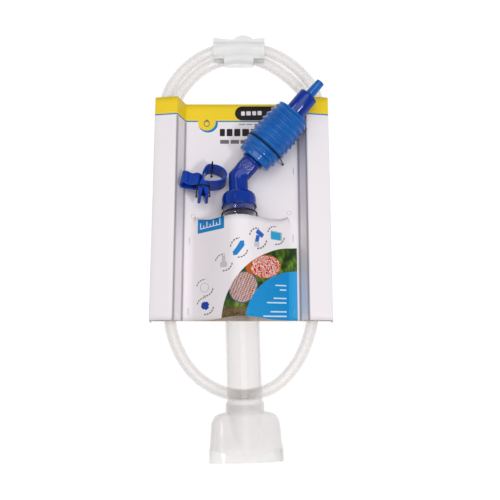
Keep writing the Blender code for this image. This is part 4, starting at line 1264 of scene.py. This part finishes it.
def apply_modifiers(piece):
    """Replace a piece's mesh by what its modifiers make of it."""
    bpy.context.view_layer.update()
    graph = bpy.context.evaluated_depsgraph_get()
    mesh = bpy.data.meshes.new_from_object(piece.evaluated_get(graph))
    piece.modifiers.clear()
    piece.data = mesh


def strap_over(centre, axis, radius, floor, steps=28):
    """A path over the top half of a round piece, with both ends down to a floor."""
    side = axis.cross(Vector((0, 0, 1))).normalized()
    up = side.cross(axis).normalized()
    arch = [
        centre + radius * (math.cos(math.pi * i / steps) * side + math.sin(math.pi * i / steps) * up)
        for i in range(steps + 1)
    ]
    drop = (centre.z - floor) / up.z
    first = arch[0] - up * drop + side * WIRE_SPREAD
    last = arch[-1] - up * drop - side * WIRE_SPREAD
    return [first, arch[0].lerp(first, 0.5), *arch, arch[-1].lerp(last, 0.5), last]


def make_wire(name, path, material):
    """A smooth wire with a small bead at both ends, where it meets the card."""
    head = (path[1] - path[0]).normalized()
    tail = (path[-2] - path[-1]).normalized()
    start = [(path[0] + head * along * MM, reach * MM) for along, reach in WIRE_BEAD]
    end = [(path[-1] + tail * along * MM, reach * MM) for along, reach in reversed(WIRE_BEAD)]
    clear = (WIRE_BEAD[-1][0] + 0.6) * MM
    middle = [
        (point, WIRE_RADIUS) for point in path
        if min((point - path[0]).length, (point - path[-1]).length) > clear
    ]
    points, radii = zip(*(start + middle + end))
    return tube_along(name, list(points), WIRE_RADIUS, material, sides=16, radii=radii)


def make_ties(material, tube_frame, bulb_frame):
    """Black wire ties that end just above the card, with room for the bulb's to be squeezed."""
    floor = FRONT_Z + FIT_GAP
    lift = FIT_GAP + WIRE_RADIUS
    valley = FIRST_RIDGE + 1.5 * RIDGE_PITCH
    path = strap_over(
        bulb_frame @ Vector((0, 0, valley)), axis_of(bulb_frame),
        ridge_radius(valley) - VALLEY_DEPTH + lift, floor + SQUEEZE_ROOM)
    tie = make_wire("bulb_wire", smooth_path(path, 2), material)
    stretch_with_bulb(tie, bulb_frame, "bulb_tie")
    path = strap_over(
        tube_frame @ Vector((0, 0, TUBE_TIE)), axis_of(tube_frame), TUBE_RADIUS + lift, floor)
    tie = make_wire("tube_wire", smooth_path(path, 2), material)
    finish_piece(tie, "pack", "black_wire", "tube_tie")
    for name, line in CLIP_TIES.items():
        path = [CLIP_FRAME @ Vector((x * MM, y * MM, height)) for x, y, height in line]
        path[0].z = path[-1].z = floor
        tie = make_wire(name.replace("tie", "wire"), smooth_path(path, 8), material)
        finish_piece(tie, "pack", "black_wire", name)


# ---- stage

def make_floor():
    """A pale floor, bright enough to read as a white sweep."""
    builder = bmesh.new()
    bmesh.ops.create_grid(builder, x_segments=1, y_segments=1, size=30.0)
    look = Graph("pale_floor", Roughness=0.9, Emission_Color=(1.0, 1.0, 1.0), Emission_Strength=0.90)
    tone = look.noise(look.coordinates(1.0), 4.0)
    look.put("Base Color", look.mix(tone, (0.125, 0.125, 0.13), (0.14, 0.14, 0.145)))
    floor = mesh_object("floor", builder, look.material)
    floor.location.z = -0.4 * MM


def make_lights():
    """A soft box overhead, a small key low on the right, a faint fill high on the left, and a surround."""
    world = bpy.data.worlds.new("studio")
    world.use_nodes = True
    surround = world.node_tree.nodes["Background"].inputs
    surround["Color"].default_value = (1.0, 0.98, 0.99, 1)
    surround["Strength"].default_value = 0.42
    bpy.context.scene.world = world
    for name, place, size, power in (
        ("overhead", (0.0, 0.05, 1.35), 0.9, 6.8),
        ("key", (0.55, -0.50, 1.10), 0.16, 4.6),
        ("fill", (-0.60, 0.50, 1.10), 0.11, 0.9),
    ):
        light = bpy.data.lights.new(name, "AREA")
        light.size = size
        light.energy = power
        lamp = linked(name, light)
        lamp.location = place
        lamp.rotation_euler = (-Vector(place)).to_track_quat("-Z", "Y").to_euler()


def make_camera():
    """The camera looks at the pack from a little below its middle."""
    eye = bpy.data.cameras.new("camera")
    eye.lens = 63.7
    eye.sensor_width = 36
    camera = linked("camera", eye)
    camera.location = (0.0097, -0.3053, 0.9659)
    camera.rotation_euler = (math.radians(15), 0, 0)
    bpy.context.scene.camera = camera
    bpy.context.scene.view_settings.view_transform = "Standard"


def main():
    """Load the frame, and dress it."""
    for thing in list(bpy.data.objects):
        bpy.data.objects.remove(thing, do_unlink=True)
    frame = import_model()
    make_camera()
    make_lights()
    make_floor()
    tube_frame, swivel_frame, bulb_frame = read_frames(frame["joints"])

    looks = {name: clear_plastic(name, *look) for name, look in CLEAR_LOOKS.items()}
    for name, (color, deep, roughness, sockets) in MOULDED_LOOKS.items():
        looks[name] = moulded(name, color, deep, roughness, **sockets)
    dark, bulb = looks["dark_blue"], looks["bulb_blue"]

    make_band(looks["clear_film"], make_hose(looks["hose_vinyl"]))
    make_sleeve((card_material(), kraft_material()), tube_frame)
    make_staples(looks["staple_steel"])
    make_tube(looks["clear_plastic"], tube_frame)
    make_collar(dark, tube_frame)
    make_guard(dark, tube_frame)
    make_nozzle(looks["frosted_plastic"], tube_frame)
    make_elbow(dark, swivel_frame, bulb_frame)
    make_bellows(bulb, bulb_frame)
    make_cuff_marks(bulb, bulb_frame)
    make_outlet(dark, bulb_frame)
    make_tail(bulb, bulb_frame)
    dress_inner_pieces(frame, looks["seal_rubber"], looks["valve_white"])
    make_clip(looks["clip_blue"])
    make_ties(looks["black_wire"], tube_frame, bulb_frame)


main()
